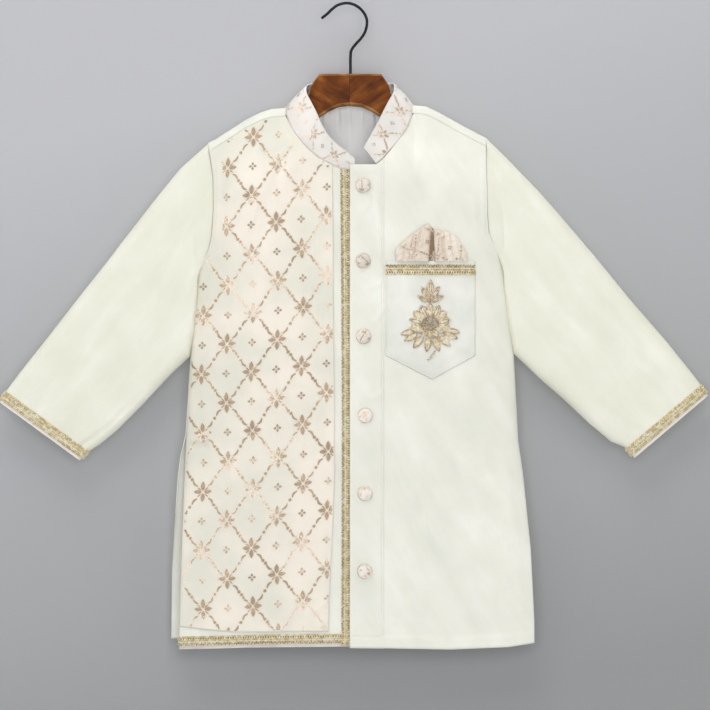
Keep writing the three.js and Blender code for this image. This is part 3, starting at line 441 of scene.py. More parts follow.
def fold_lift(folds, x, z):
    """How far the folds lift the cloth at each point."""
    lift = np.zeros(np.broadcast(x, z).shape)
    for wide, high, line in folds:
        path = np.array(line, float)
        run = run_along(path)
        nearest = np.full(lift.shape, FAR)
        share = np.zeros(lift.shape)
        for k, (start, end) in enumerate(zip(path[:-1], path[1:])):
            length = run[k + 1] - run[k]
            d = (end - start) / length
            along = (x - start[0]) * d[0] + (z - start[1]) * d[1]
            held = np.clip(along, 0 if k else -FAR, length if k < len(path) - 2 else FAR)
            off = np.hypot(x - start[0] - d[0] * held, z - start[1] - d[1] * held)
            share = np.where(off < nearest, (run[k] + along) / run[-1], share)
            nearest = np.minimum(off, nearest)
        fade = ease(share * 4 + 0.4) * ease((1 - share) * 4 + 0.4)
        lift += high * fade * bell(nearest, wide)
    return lift


def ripple(x, z):
    """Low waves that keep the cloth from lying dead flat."""
    return sum(high * np.sin(kx * x + kz * z + turn) for high, kx, kz, turn in RIPPLES)


def body_depth(x, z, back=False, below=None, fine=True):
    """Half depth of the body's front or back at each point."""
    below = shoulder_z(x) - z if below is None else below
    underarm = by_half(x, lambda half: half["underarm"])
    tip = by_half(x, lambda half: half["tip"])
    lower = ease((underarm - z) / (underarm - HEM_BACK[1][1]))
    chest, hem = (BACK_CHEST, BACK_HEM) if back else (FRONT_CHEST, FRONT_HEM)
    start = SHOULDER_R * quarter(below, SHOULDER_R)
    rounded = ease((below - SHOULDER_R) / CHEST_FALL)
    centre = start + (lerp(chest, hem, lower) - SHOULDER_R) * rounded
    edge = SLIT_DEPTH * ease((SLIT_TOP - z) / SLIT_FALL)
    side = "back_side" if back else "side"
    full = by_half(x, lambda half: look(half[side], np.minimum(z, half["underarm"])))
    across = np.clip(np.abs(x) / full, 0, 1)
    shape = np.sqrt(1 - across ** 3)
    open_share = (1 - shape) * (1 - ease((tip - z) / (tip - underarm)))
    folds = fold_lift(BACK_FOLDS if back else FRONT_FOLDS, x, z)
    if fine:
        folds = folds + fold_lift(FINE_BACK if back else FINE_FRONT, x, z) + ripple(x, z)
    calm = ease((below - SHOULDER_R) / CALM_TOP) * (1 - across ** 4)
    return edge + (centre - edge) * shape + start * open_share + folds * calm


def right_front(x, z, off=0.0):
    """Points on the right front, standing off it."""
    return np.stack([x, -(body_depth(x, z) + SKIN + off), z], axis=-1)


def left_front(x, z, off=0.0):
    """Points on the left front, which stands proud along its edge, where it laps over the right."""
    lap = LAP * (1 - ease((x - LAP_FROM) / (LAP_TO - LAP_FROM)))
    return np.stack([x, -(body_depth(x, z) + lap + SKIN + off), z], axis=-1)


# Materials


def linear(colour):
    """A colour given as it shows on screen, from 0 to 255, as the linear one a shader takes."""
    values = np.array(colour) / 255
    return (*np.where(values <= 0.04045, values / 12.92, ((values + 0.055) / 1.055) ** 2.4), 1)


class Nodes:
    """A material's node tree, with short calls to add nodes to it."""

    def __init__(self, name, roughness, metallic=0.0, sheen=0.0, specular=0.5):
        self.material = bpy.data.materials.new(name)
        self.material.use_nodes = True
        self.tree = self.material.node_tree
        self.shader = self.tree.nodes["Principled BSDF"]
        self.fill(self.shader, {"Roughness": roughness, "Metallic": metallic,
                                "Sheen Weight": sheen, "Specular IOR Level": specular})
        self.place = self.add("TexCoord", "Object")

    def fill(self, node, inputs):
        """Sets each input to a value, or links it to another node's output."""
        for name, value in inputs.items():
            if isinstance(value, bpy.types.NodeSocket):
                self.tree.links.new(value, node.inputs[name])
            else:
                node.inputs[name].default_value = value

    def add(self, kind, output, inputs=None, **settings):
        """The output of a new node."""
        node = self.tree.nodes.new("ShaderNode" + kind)
        for name, value in settings.items():
            setattr(node, name, value)
        self.fill(node, inputs or {})
        return node.outputs[output]

    def scaled(self, x, y, z, degrees):
        """The place on the object, turned in the front plane, then with this many times the detail."""
        return self.add("Mapping", "Vector", {
            "Scale": (1 / x, 1 / y, 1 / z), "Rotation": (0, math.radians(degrees), 0),
            "Vector": self.place}, vector_type="TEXTURE")

    def noise(self, scale, detail, place=None):
        return self.add("TexNoise", "Fac", {"Scale": scale, "Detail": detail,
                                            "Vector": place or self.place})

    def wave(self, scale, direction, distortion):
        return self.add("TexWave", "Fac", {"Scale": scale, "Distortion": distortion,
                                           "Vector": self.place}, bands_direction=direction)

    def math(self, operation, first, second):
        return self.add("Math", "Value", {0: first, 1: second}, operation=operation)

    def sum(self, *parts):
        """The sum of outputs, each times its weight."""
        total = None
        for output, weight in parts:
            part = output if weight == 1 else self.math("MULTIPLY", output, weight)
            total = part if total is None else self.math("ADD", total, part)
        return total

    def ramp(self, factor, stops):
        """A colour ramp through stops of (place, linear colour)."""
        node = self.tree.nodes.new("ShaderNodeValToRGB")
        elements = node.color_ramp.elements
        for i, (place, colour) in enumerate(stops):
            element = elements[i] if i < 2 else elements.new(place)
            element.position = place
            element.color = colour
        self.fill(node, {"Fac": factor})
        return node.outputs["Color"]

    def colour(self, factor, *stops):
        """Colours the surface through stops of (place, colour on screen)."""
        ramp = self.ramp(factor, [(place, linear(colour)) for place, colour in stops])
        self.fill(self.shader, {"Base Color": ramp})

    def rough(self, factor, low, high):
        ramp = self.ramp(factor, [(0, (low, low, low, 1)), (1, (high, high, high, 1))])
        self.fill(self.shader, {"Roughness": ramp})

    def bump(self, height, distance, strength):
        self.fill(self.shader, {"Normal": self.add("Bump", "Normal", {
            "Distance": distance, "Strength": strength, "Height": height})})


def velvet(name, degrees, dark, light, painted_sheen):
    """Short-piled cream satin: soft mottling, brushed streaks leaning by degrees, a fine weave. The mottling
    and the streaks mix random tone with painted sheen, and the lightest colour is painted sheen.
    """
    nodes = Nodes(name, 0.55, sheen=0.2, specular=0.3)
    nodes.fill(nodes.shader, {"Sheen Roughness": 0.4})
    pile_and_sheen_streaks = nodes.noise(9, 4, nodes.scaled(5, 1, 1.1, degrees))
    fine_sheen_streaks = nodes.noise(40, 3, nodes.scaled(6, 1, 1, degrees))
    clouds = nodes.noise(20, 4)
    tone_and_painted_sheen = nodes.sum((pile_and_sheen_streaks, 0.4), (clouds, 0.5), (fine_sheen_streaks, 0.1))
    nodes.colour(tone_and_painted_sheen, (0.36, dark), (0.52, light), (0.66, painted_sheen))
    nodes.rough(clouds, 0.46, 0.7)
    threads = nodes.sum((nodes.wave(420, "X", 1.2), 1), (nodes.wave(420, "Z", 1.2), 1))
    nodes.bump(nodes.sum((threads, 0.3), (nodes.noise(900, 2), 1), (pile_and_sheen_streaks, 2.5)), 0.00035, 0.6)
    return nodes.material


def plain_weave(name, dark, light, roughness=0.75, sheen=0.1):
    """Matt lining cotton, with a visible thread."""
    nodes = Nodes(name, roughness, sheen=sheen, specular=0.25)
    nodes.colour(nodes.noise(30, 3), (0.35, dark), (0.65, light))
    threads = nodes.sum((nodes.wave(500, "X", 0.8), 1), (nodes.wave(500, "Z", 0.8), 1))
    nodes.bump(threads, 0.0002, 0.4)
    return nodes.material


def brocade_ground(name, dark, light):
    """The brocade's cream ground: a fine crosswise rib with a silky gloss."""
    nodes = Nodes(name, 0.45, sheen=0.15, specular=0.4)
    clouds = nodes.noise(16, 3)
    nodes.colour(clouds, (0.36, dark), (0.62, light))
    nodes.rough(clouds, 0.36, 0.56)
    threads = nodes.sum((nodes.wave(620, "Z", 0.6), 1), (nodes.wave(380, "X", 0.6), 0.5))
    nodes.bump(threads, 0.00025, 0.5)
    return nodes.material


def foil_thread(name, dark, middle, painted_glint, metallic, roughness, patch=26):
    """Metallic thread, in random patches of darker tone and of painted glint, a brighter colour that stands
    for reflected light.
    """
    nodes = Nodes(name, roughness, metallic=metallic, specular=0.6)
    tone_and_glint_patches = nodes.sum((nodes.noise(patch, 2), 0.7), (nodes.noise(420, 1), 0.3))
    nodes.colour(tone_and_glint_patches, (0.4, dark), (0.52, middle), (0.6, painted_glint))
    nodes.rough(tone_and_glint_patches, roughness + 0.12, roughness - 0.1)
    nodes.bump(nodes.wave(900, "DIAGONAL", 1.0), 0.0003, 0.6)
    return nodes.material


def varnished_wood(name, dark, brown, orange, worn):
    """Brown-stained wood, glued of two halves whose blotched grain leans either way."""
    nodes = Nodes(name, 0.46, specular=0.1)
    x = nodes.add("SeparateXYZ", "X", {"Vector": nodes.place})
    from_joint = nodes.math("SUBTRACT", x, GLUE_X * MM)
    right = nodes.math("GREATER_THAN", from_joint, 0.0)
    left = nodes.math("SUBTRACT", 1.0, right)
    leans = [nodes.noise(10, 6, nodes.scaled(3, 8, 14, degrees)) for degrees in (34, -34)]
    grain = nodes.sum((leans[1], right), (leans[0], left))
    pores = nodes.noise(26, 4, nodes.scaled(8, 40, 40, 24))
    joint = nodes.math("LESS_THAN", nodes.math("ABSOLUTE", from_joint, 0.0), GLUE_WIDE * MM)
    mixed = nodes.sum((grain, 0.6), (nodes.noise(52, 3), 0.4), (joint, -0.12))
    nodes.colour(mixed, (0.36, dark), (0.47, brown), (0.55, orange), (0.66, worn))
    nodes.rough(pores, 0.4, 0.56)
    nodes.bump(nodes.sum((grain, 1), (pores, 0.5)), 0.0004, 0.4)
    return nodes.material


def black_wire(name):
    """Black satin paint on wire, with faint unevenness."""
    nodes = Nodes(name, 0.3, specular=0.25)
    clouds = nodes.noise(160, 3)
    nodes.colour(clouds, (0.3, (6, 6, 12)), (0.7, (16, 17, 25)))
    nodes.rough(clouds, 0.22, 0.36)
    nodes.bump(nodes.noise(600, 2), 0.0001, 0.4)
    return nodes.material


# Velvet colours: dark, light, and a lightest one of painted sheen
CREAM = velvet("cream_velvet", -30, (229, 229, 216), (236, 235, 223), (243, 243, 233))
SLEEVE_TONES_AND_SHEEN = ((229, 228, 210), (234, 233, 217), (240, 239, 226))
SLEEVES = {
    "right": velvet("right_sleeve_velvet", 37, *SLEEVE_TONES_AND_SHEEN),
    "left": velvet("left_sleeve_velvet", -40, *SLEEVE_TONES_AND_SHEEN),
}
INSIDE = plain_weave("lining_inside", (214, 214, 216), (232, 232, 234))
WHITE = plain_weave("white_lining", (236, 234, 232), (248, 247, 244))
# The neck's lining is a lighter copy of the white lining: painted light for the shaded hollow of the neck
NECK_PAINTED_LIGHT = plain_weave("neck_lining_painted_light", (246, 244, 242), (254, 253, 251))
SATIN = plain_weave("pocket_satin", (224, 225, 214), (239, 238, 229), 0.42, 0.2)
STITCH = plain_weave("sewing_thread", (214, 212, 198), (232, 231, 220))
CUFF_WHITE = plain_weave("cuff_lining_cotton", (240, 232, 228), (252, 246, 242))
# Darker than the cuffs' white lining: partly the facing's own pinkish tone, partly painted shade under the
# hem braid
HEM_WHITE_SHADED = plain_weave("hem_facing_cotton_shaded", (206, 199, 191), (226, 219, 211))
GROUND = brocade_ground("brocade_ground", (231, 229, 213), (248, 239, 224))
COLLAR_GROUND = brocade_ground("collar_ground", (226, 222, 215), (245, 238, 231))
BLUSH = brocade_ground("brocade_blush", (230, 216, 198), (247, 237, 222))
# Painted shade: a darker brocade for the pocket square's middle slit and for its inner face
SHADE = brocade_ground("brocade_painted_fold_shade", (150, 124, 98), (190, 164, 136))
# Dark, middle and painted glint colour, metallic, roughness, and for cords how fine their patches are
ROSE = foil_thread("rose_foil", (180, 158, 132), (204, 181, 152), (252, 230, 203), 0.2, 0.42)
PALE_ROSE = foil_thread("pale_foil_outline", (236, 221, 202), (250, 235, 216), (255, 248, 236),
                        0.2, 0.4)
COLLAR_ROSE = foil_thread("collar_foil", (184, 162, 142), (208, 186, 166), (252, 232, 212),
                          0.2, 0.4)
BUTTON_CLOTH = foil_thread("button_cloth", (230, 217, 200), (246, 237, 224), (255, 248, 238),
                           0.1, 0.42)
GOLD = foil_thread("gold_thread", (214, 197, 150), (240, 225, 182), (255, 248, 226),
                   0.18, 0.36, FINE)
PALE_GOLD = foil_thread("pale_gold_cord", (238, 225, 190), (251, 243, 218), (255, 253, 244),
                        0.2, 0.3, FINE)
TAUPE = foil_thread("taupe_thread", (172, 148, 116), (202, 178, 144), (232, 214, 184),
                    0.2, 0.45, FINE)
STRAW = foil_thread("cuff_braid_tape", (182, 161, 110), (208, 189, 138), (226, 210, 166),
                    0.1, 0.5, FINE)
OLIVE = foil_thread("braid_tape", (110, 92, 56), (136, 117, 76), (170, 152, 106),
                    0.1, 0.55, FINE)
CORD = foil_thread("rose_cord", (184, 160, 134), (214, 192, 166), (248, 234, 216), 0.2, 0.36, 200)
WOOD = varnished_wood("brown_wood", (78, 38, 10), (102, 53, 15), (122, 66, 22), (150, 92, 42))
# The lighter wood of the front's rounded edges: painted highlight, with some wear
HIGHLIT_AND_WORN_WOOD = varnished_wood("highlit_and_worn_wood_edge", (104, 66, 34), (142, 98, 56), (164, 118, 72),
                           (190, 146, 98))
WIRE = black_wire("black_wire")


# Meshes


def make_mesh(name, points, faces, materials, indices=None):
    """A smooth mesh object from points in millimetres."""
    mesh = bpy.data.meshes.new(name)
    mesh.from_pydata((np.asarray(points, float) * MM).tolist(), [], faces)
    for material in materials:
        mesh.materials.append(material)
    if indices is not None:
        mesh.polygons.foreach_set("material_index", np.asarray(indices, np.int32))
    mesh.polygons.foreach_set("use_smooth", np.ones(len(mesh.polygons), bool))
    mesh.update()
    made = bpy.data.objects.new(name, mesh)
    bpy.context.scene.collection.objects.link(made)
    return made


def ride(made, slot, *nodes):
    """The piece moves with the garment and stands for nodes, whose parts it hides; slot is not used."""
    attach(made, "root")
    if nodes:
        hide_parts(*nodes)
    return made


def slopes(grid):
    """How the points of a grid change from row to row."""
    change = np.empty_like(grid)
    change[1:-1] = grid[2:] - grid[:-2]
    change[0] = grid[1] - grid[0]
    change[-1] = grid[-1] - grid[-2]
    return change


def grid_normals(grid, closed, outward):
    """Unit normals of a grid of points, on the side that `outward` points to."""
    if closed:
        along = np.roll(grid, -1, axis=1) - np.roll(grid, 1, axis=1)
    else:
        along = slopes(grid.swapaxes(0, 1)).swapaxes(0, 1)
    normals = unit(np.cross(slopes(grid), along))
    return -normals if (normals * outward).sum() < 0 else normals


def wall(name, grid, materials, outward, cloth=CLOTH, closed=False, hold=None, keep=None):
    """A closed wall of cloth behind a grid of points, whose outer face is on `outward`'s side."""
    normals = grid_normals(grid, closed, outward)
    sides = [grid.copy(), grid - normals * cloth]
    if hold is not None:
        sides = [hold(side) for side in sides]
    rows, columns = grid.shape[:2]
    last = columns if closed else columns - 1
    kept = np.ones((rows - 1, last), bool) if keep is None else keep
    r, c = np.nonzero(kept)
    right = (c + 1) % columns
    outer = np.stack([r * columns + c, r * columns + right, (r + 1) * columns + right,
                      (r + 1) * columns + c], axis=1)
    inner = outer[:, ::-1] + rows * columns
    # a rim joins the two sides wherever a kept face has no neighbour
    around = np.zeros((rows + 1, last + 2), bool)
    around[1:-1, 1:-1] = kept
    if closed:
        around[:, 0] = around[:, -2]
        around[:, -1] = around[:, 1]
    rims = []
    for dr, dc, a, b in ((-1, 0, 0, 1), (0, 1, 1, 2), (1, 0, 2, 3), (0, -1, 3, 0)):
        edge = outer[~around[r + 1 + dr, c + 1 + dc]]
        rims.append(np.stack([edge[:, b], edge[:, a], edge[:, a] + rows * columns,
                              edge[:, b] + rows * columns], axis=1))
    rim = np.concatenate(rims)
    points = np.concatenate([side.reshape(-1, 3) for side in sides])
    used, faces = np.unique(np.concatenate([outer, inner, rim]), return_inverse=True)
    faces = faces.reshape(-1, 4)
    first, second, third = (points[used][faces[0, i]] for i in (0, 1, 2))
    if np.dot(np.cross(second - first, third - first), normals[r[0], c[0]]) < 0:
        faces = faces[:, ::-1]
    indices = np.repeat([0, len(materials) - 1, 0], [len(outer), len(inner), len(rim)])
    return make_mesh(name, points[used], faces.tolist(), materials, indices)


def quads(rows, columns, ring=True, loop=False):
    """Faces between rows of points; ring closes each row, loop joins the last row to the first."""
    faces = []
    for r in range(rows if loop else rows - 1):
        low = r * columns
        high = (r + 1) % rows * columns
        for c in range(columns if ring else columns - 1):
            step = (c + 1) % columns
            faces.append([low + c, high + c, high + step, low + step])
    return faces


def caps(rows, columns):
    """The faces that close the two ends of a tube of rows."""
    return [list(range(columns)), [(rows - 1) * columns + c for c in reversed(range(columns))]]


class Heap:
    """Small meshes gathered into one object."""

    def __init__(self):
        self.points = []
        self.faces = []
        self.indices = []
        self.count = 0

    def add(self, points, faces, index=0):
        points = np.asarray(points, float).reshape(-1, 3)
        self.points.append(points)
        self.faces.extend([[i + self.count for i in face] for face in faces])
        self.indices.extend([index] * len(faces))
        self.count += len(points)

    def tube(self, path, radii, sides=8, index=0, closed=False):
        """A tube with one radius, one for each point, or one for each point and side."""
        path = np.asarray(path, float)
        radii = np.asarray(radii, float)
        if radii.ndim < 2:
            radii = radii.reshape(-1, 1)
        along = np.roll(path, -1, 0) - np.roll(path, 1, 0) if closed else slopes(path)
        along = unit(along)
        side = np.cross(along, FORWARD)
        weak = np.linalg.norm(side, axis=1) < 0.2
        side[weak] = np.cross(along[weak], [0.0, 0.0, 1.0])
        side = unit(side)
        up = np.cross(side, along)
        turn = turns(sides)[None, :, None]
        ring = np.cos(turn) * side[:, None] + np.sin(turn) * up[:, None]
        faces = quads(len(path), sides, loop=closed)
        if not closed:
            faces += caps(len(path), sides)
        self.add(path[:, None] + ring * radii[:, :, None], faces, index)

    def ball(self, centre, radius, index=0, sides=8, rings=5):
        """A bead."""
        tilt = np.linspace(0, np.pi, rings + 1)[:, None]
        turn = turns(sides)[None, :]
        shape = np.stack([np.sin(tilt) * np.cos(turn), 0 * turn - np.cos(tilt),
                          np.sin(tilt) * np.sin(turn)], -1)
        self.add(shape * radius + np.asarray(centre), quads(rings + 1, sides), index)

    def make(self, name, materials):
        return make_mesh(name, np.concatenate(self.points), self.faces, materials, self.indices)


def area_of(grid):
    """The area of a grid of points, in square metres."""
    a = np.cross(grid[1:, :-1] - grid[:-1, :-1], grid[:-1, 1:] - grid[:-1, :-1])
    b = np.cross(grid[:-1, 1:] - grid[1:, 1:], grid[1:, :-1] - grid[1:, 1:])
    return float((np.linalg.norm(a, axis=2) + np.linalg.norm(b, axis=2)).sum() / 2) * MM * MM


def cloth(made, grid, flat, held="hung", rests_on=("hanger_board",), with_pieces=()):
    """Works out the size a sheet of cloth was cut to, flat = (width, length) in millimetres, and its cut
    area; nothing is kept.
    """
    width, length = flat[0] * MM, flat[1] * MM
    area = min(area_of(grid), width * length)


def in_front(points):
    points[..., 1] = np.minimum(points[..., 1], -SKIN)
    return points


# Body fronts


def front_plan(half, first_x, hem, columns=110, rows=230):
    """x and z of a front panel's grid, from its front edge to the side and from top to hem."""
    share = np.sin(np.linspace(0, 1, columns) * np.pi / 2 * 0.999)

    def column_x(z):
        return lerp(first_x(z), half["sign"] * (edge_x(half, z) - ARMHOLE_GAP), share)

    top = np.full(columns, float(half["tip"]))
    for _ in range(14):
        x = column_x(top)
        top = top_z(half, x, x * half["sign"])
    foot = look(hem, column_x(np.full(columns, HEM_Z)))
    z = lerp(top[None, :], foot[None, :], np.linspace(0, 1, rows)[:, None])
    return np.stack([column_x(row) for row in z]), z


def seam_groove(x, z, half, off):
    """How far a cloth stands off, a little less along its armhole, side and shoulder seams."""
    to_side = edge_x(half, z) - np.abs(x)
    to_top = top_z(half, x, np.abs(x)) - z
    return off - SEAM_GROOVE * np.maximum(near(to_side, SEAM_WIDE), near(to_top, SEAM_WIDE))


x, z = front_plan(RIGHT, lambda z: FRONT_UNDERLAP, HEM_RIGHT)
base_grid = right_front(x, z, seam_groove(x, z, RIGHT, 0.0))
panel_right = wall("panel_front_right", base_grid, [CREAM, INSIDE], FORWARD, hold=in_front)
ride(panel_right, "cream_cloth", "front_right_base")


def overlay_off(x, z):
    """How far the brocade stands off: it hangs free along its front edge and its foot."""
    to_edge = look(OVERLAY_EDGE, z) - x
    to_foot = z - look(OVERLAY_FOOT, x)
    free = np.maximum(near(to_edge, 9), near(to_foot, 12))
    wavy = 0.5 + 0.5 * np.sin(x * 0.11 + z * 0.043 + 1.1)
    return LIFT + 0.9 * free * (0.5 + wavy)


def on_overlay(x, z, high=0.0):
    return right_front(x, z, seam_groove(x, z, RIGHT, overlay_off(x, z)) + high)


x, z = front_plan(RIGHT, lambda z: look(OVERLAY_EDGE, z), OVERLAY_FOOT, 120, 240)
overlay_grid = on_overlay(x, z)
brocade_front = wall("brocade_front", overlay_grid, [GROUND, INSIDE], FORWARD, 0.7, hold=in_front)
ride(brocade_front, "brocade", "front_right_overlay")

x, z = front_plan(LEFT, lambda z: FRONT_LEFT_EDGE, HEM_LEFT)
hem_turned = 0.9 * ease((look(HEM_LEFT, x) + HEM_TURN - z) / 1.2)
left_grid = left_front(x, z, seam_groove(x, z, LEFT, hem_turned))
panel_left = wall("panel_front_left", left_grid, [CREAM, INSIDE], FORWARD, hold=in_front)
ride(panel_left, "cream_cloth", "front_left")


def on_placket(x, z, off=0.0):
    """The placket strip stands proud, with a shallow crease along its stitching."""
    inside = ease((PLACKET_RIGHT - x) / 4)
    crease = bell(x - PLACKET_RIGHT + STITCH_IN, 1.1)
    edge = 1 - quarter(x - FRONT_LEFT_EDGE, 1.4)
    return left_front(x, z, SKIN + 0.6 * inside - 0.15 * crease - 0.4 * edge + off)


x, share = np.meshgrid(np.linspace(FRONT_LEFT_EDGE - 0.2, PLACKET_RIGHT, 40), np.linspace(0, 1, 240))
z = lerp(look(LEFT["neckline"], x), look(HEM_LEFT, x) - 0.2, share)
placket_grid = on_placket(x, z)
placket = wall("placket_strip", placket_grid, [CREAM, INSIDE], FORWARD, 0.8)
ride(placket, "cream_cloth", "placket")

# The back, which rolls forward over both shoulders to the seams of the fronts
BACK_ROWS = 190
NECK_COLUMNS = 14
SIDE_COLUMNS = 62
ROLL = np.radians(np.linspace(-80, 90, 22))


def back_x(half, neck_share, side_share, z):
    """x of a column of the back, at a share of the neck's half width, or from there to the side."""
    corner = half["neckline"][-1][0] - NECK_TUCK
    if neck_share < 1:
        return np.full(np.shape(z), half["sign"] * neck_share * corner)
    return half["sign"] * lerp(corner, edge_x(half, z, True) - ARMHOLE_GAP, side_share)


def back_column(half, neck_share, side_share):
    """One column of the back, from the hem up and over the shoulder."""
    tip_x = abs(float(back_x(half, neck_share, side_share, np.array(float(half["tip"])))))
    top_x = half["sign"] * max(tip_x, half["neckline"][-1][0])
    top = float(shoulder_z(np.array(top_x)))
    end = top - SHOULDER_R
    if neck_share < 1:
        end = BACK_NECK + half["nape_rise"] * neck_share ** 6
    low_x = float(back_x(half, neck_share, side_share, np.array(HEM_BACK[1][1])))
    z = lerp(float(look(HEM_BACK, low_x)), end, np.linspace(0, 1, BACK_ROWS))
    x = back_x(half, neck_share, side_share, z)
    to_side = edge_x(half, z, True) - np.abs(x)
    groove = SEAM_GROOVE * near(to_side, SEAM_WIDE) * ease(to_side / 0.4)
    y = body_depth(x, z, True) + SKIN - groove
    roll_z = top - SHOULDER_R * (1 - np.cos(ROLL))
    roll_x = back_x(half, neck_share, side_share, roll_z)
    roll_y = -SHOULDER_R * np.sin(ROLL)
    return np.concatenate([np.stack([x, y, z], 1), np.stack([roll_x, roll_y, roll_z], 1)])


def half_back(half):
    over_neck = np.linspace(0, math.pi / 2, NECK_COLUMNS, endpoint=False)[1:]
    to_side = np.linspace(0, math.pi / 2, SIDE_COLUMNS)
    return ([back_column(half, math.sin(q), 0) for q in over_neck] +
            [back_column(half, 1, math.sin(q)) for q in to_side])


def behind(points):
    low = points[..., 2] < RIGHT["underarm"] + 14
    points[..., 1] = np.where(low, np.maximum(points[..., 1], SKIN), points[..., 1])
    return points


columns = half_back(RIGHT)[::-1] + [back_column(LEFT, 0, 0)] + half_back(LEFT)
back_grid = np.stack(columns, axis=1)
keep = np.ones((back_grid.shape[0] - 1, back_grid.shape[1] - 1), bool)
keep[BACK_ROWS - 1:, SIDE_COLUMNS - 1:-(SIDE_COLUMNS - 1)] = False
panel_back = wall("panel_back", back_grid, [CREAM], BACKWARD, hold=behind, keep=keep)
ride(panel_back, "cream_cloth", "back")

# The lining that shows through the neck, gathered under the hanger
x, z = np.meshgrid(np.linspace(-46, 51, 130), np.linspace(-103.5, -206, 76))
pleats = (0.9 * np.sin(x * 0.62 + 0.02 * z) + 0.6 * np.sin(x * 1.13 + 1.7)) * np.exp(-np.abs(z + 116) / 12)
crease = 1.3 * bell(x - 4 - 0.02 * (z + 115), 2.2) * ease((-z - 108) / 20)
soft = 0.8 * np.sin(x * 0.13 + 0.6) + 0.4 * np.sin(x * 0.31 + z * 0.03)
depth = body_depth(x, z, True, fine=False) - 3.4 - (pleats + soft - crease) * 0.8
depth = np.where(z > BACK_NECK, np.clip(depth, 8.4, 10.2), depth)
lining_grid = np.stack([x, depth, z], axis=-1)
# The lining takes the lighter neck colour of painted light
lining = wall("neck_lining", lining_grid, [NECK_PAINTED_LIGHT], FORWARD, 0.7)
ride(lining, "white_lining", "back_neck_lining")

# Sleeves
RING_HALF = 56
SLEEVE_RINGS = 150
STATION_PITCH = 30


def sleeve_relief(side, x, z, q, at, share, face):
    """The folds and waves of a sleeve's front (face -1) or back (face 1) in one ring."""
    relief = 0.25 * np.sin(x * 0.06 + z * 0.05) + 0.12 * np.sin(x * 0.17 - z * 0.11)
    for begin, end, wide, high in SLEEVE_FOLDS[side]:
        along = (share - begin[0]) / (end[0] - begin[0])
        centre = lerp(begin[1], end[1], along)
        centre = 1 - centre if face > 0 else centre
        relief = relief + high * ease(along * 4 + 0.2) * ease((1 - along) * 4 + 0.2) * bell(q - centre, wide)
    return relief * np.sin(np.pi * q) * ease(at * 1.5)


def sleeve_grid(side, half, stations):
    """Rings of points round a sleeve, from the armhole to the cuff."""
    tip, underarm = half["tip"], half["underarm"]
    first = (float(look(half["armhole"], tip)), tip, float(look(half["armhole"], underarm)),
             underarm, SHOULDER_R)
    table = np.array([first, *stations], float)
    number = np.arange(len(table))
    sink, reach = SLEEVE_SINK[side]
    q = (1 - np.cos(np.linspace(0, np.pi, RING_HALF))) / 2
    ends = (q > 0) & (q < 1)
    z_hole = lerp(tip, underarm, q)
    armhole = look(half["armhole"], z_hole)
    swing = armhole - lerp(first[0], first[2], q)
    seams = {face: np.where(ends, body_depth(half["sign"] * (armhole - 0.8), z_hole, face > 0,
                                             tip - z_hole, False), 0) for face in (-1, 1)}
    rings = []
    for at in np.linspace(0, len(stations), SLEEVE_RINGS):
        ux, uz, lx, lz, deep = (np.interp(at, number, column) for column in table.T)
        chord = math.hypot(ux - lx, uz - lz)
        x = lerp(ux, lx, q) + ARMHOLE_GAP + swing * (1 - ease(at / 0.7))
        z = lerp(uz, lz, q)
        soft = deep * quarter(q * chord, deep * 1.2) * quarter((1 - q) * chord, deep * 1.2)
        swell = 1 + 0.12 * np.sin(np.pi * q)
        sides = []
        for face, seam in seams.items():
            relief = sleeve_relief(side, x, z, q, at, at / len(stations), face)
            y = lerp(soft * swell + relief, seam, 1 - ease(at))
            y = y - np.minimum(sink * math.exp(-at * STATION_PITCH / reach), 0.45 * y) * ends
            sides.append(np.stack([half["sign"] * x, face * np.maximum(y, 0), z], 1))
        rings.append(np.concatenate([sides[0], sides[1][-2:0:-1]]))
    return np.array(rings)


def ring_outward(grid):
    return grid - grid.mean(axis=1, keepdims=True)


def braid(name, path, normal, across, size=1.0, finish=(GOLD, PALE_GOLD, TAUPE, OLIVE)):
    """A gold braid: a narrow scalloped chain, a bright twisted cord and a wide plaited band.

    path runs along its chain side, across points to its band side."""
    heap = Heap()
    run = run_along(path)
    fine = np.arange(0, run[-1], BRAID_STEP)

    def at(values):
        return np.stack([np.interp(fine, run, column) for column in values.T], 1)

    line, out, over = at(path), at(normal), at(across) * size
    corners = ((0.6, 0), (0.6, TAPE), (BRAID - 0.4, TAPE), (BRAID - 0.4, 0))
    tape = np.stack([line + over * place + out * high for place, high in corners], 1)[::4]
    faces = [face[:1] + face[:0:-1] for face in quads(len(tape), 4)]
    if np.dot(np.cross(over[0], line[1] - line[0]), out[0]) < 0:
        faces = [face[::-1] for face in faces]
    heap.add(tape, faces, 3)
    twist = 1 + 0.14 * np.cos(2 * turns(8) + 2 * np.pi * fine[:, None] / 3)
    heap.tube(line + over * 3.9 + out * 0.95, 0.62 * twist, 8, 1)
    for middle, swing, wave, phase, thick, index in BRAID_STRANDS:
        angle = 2 * np.pi * (fine / wave + phase)
        place = middle + swing * np.sin(angle)
        lift = 0.85 + 0.25 * np.cos(2 * angle + phase * np.pi)
        heap.tube(line + over * place[:, None] + out * lift[:, None], thick, 5, index)
    for place in (2.9, 5.0, 9.6):
        heap.tube(line + over * place + out * 0.75, 0.34, 5)
    return heap.make(name, finish)


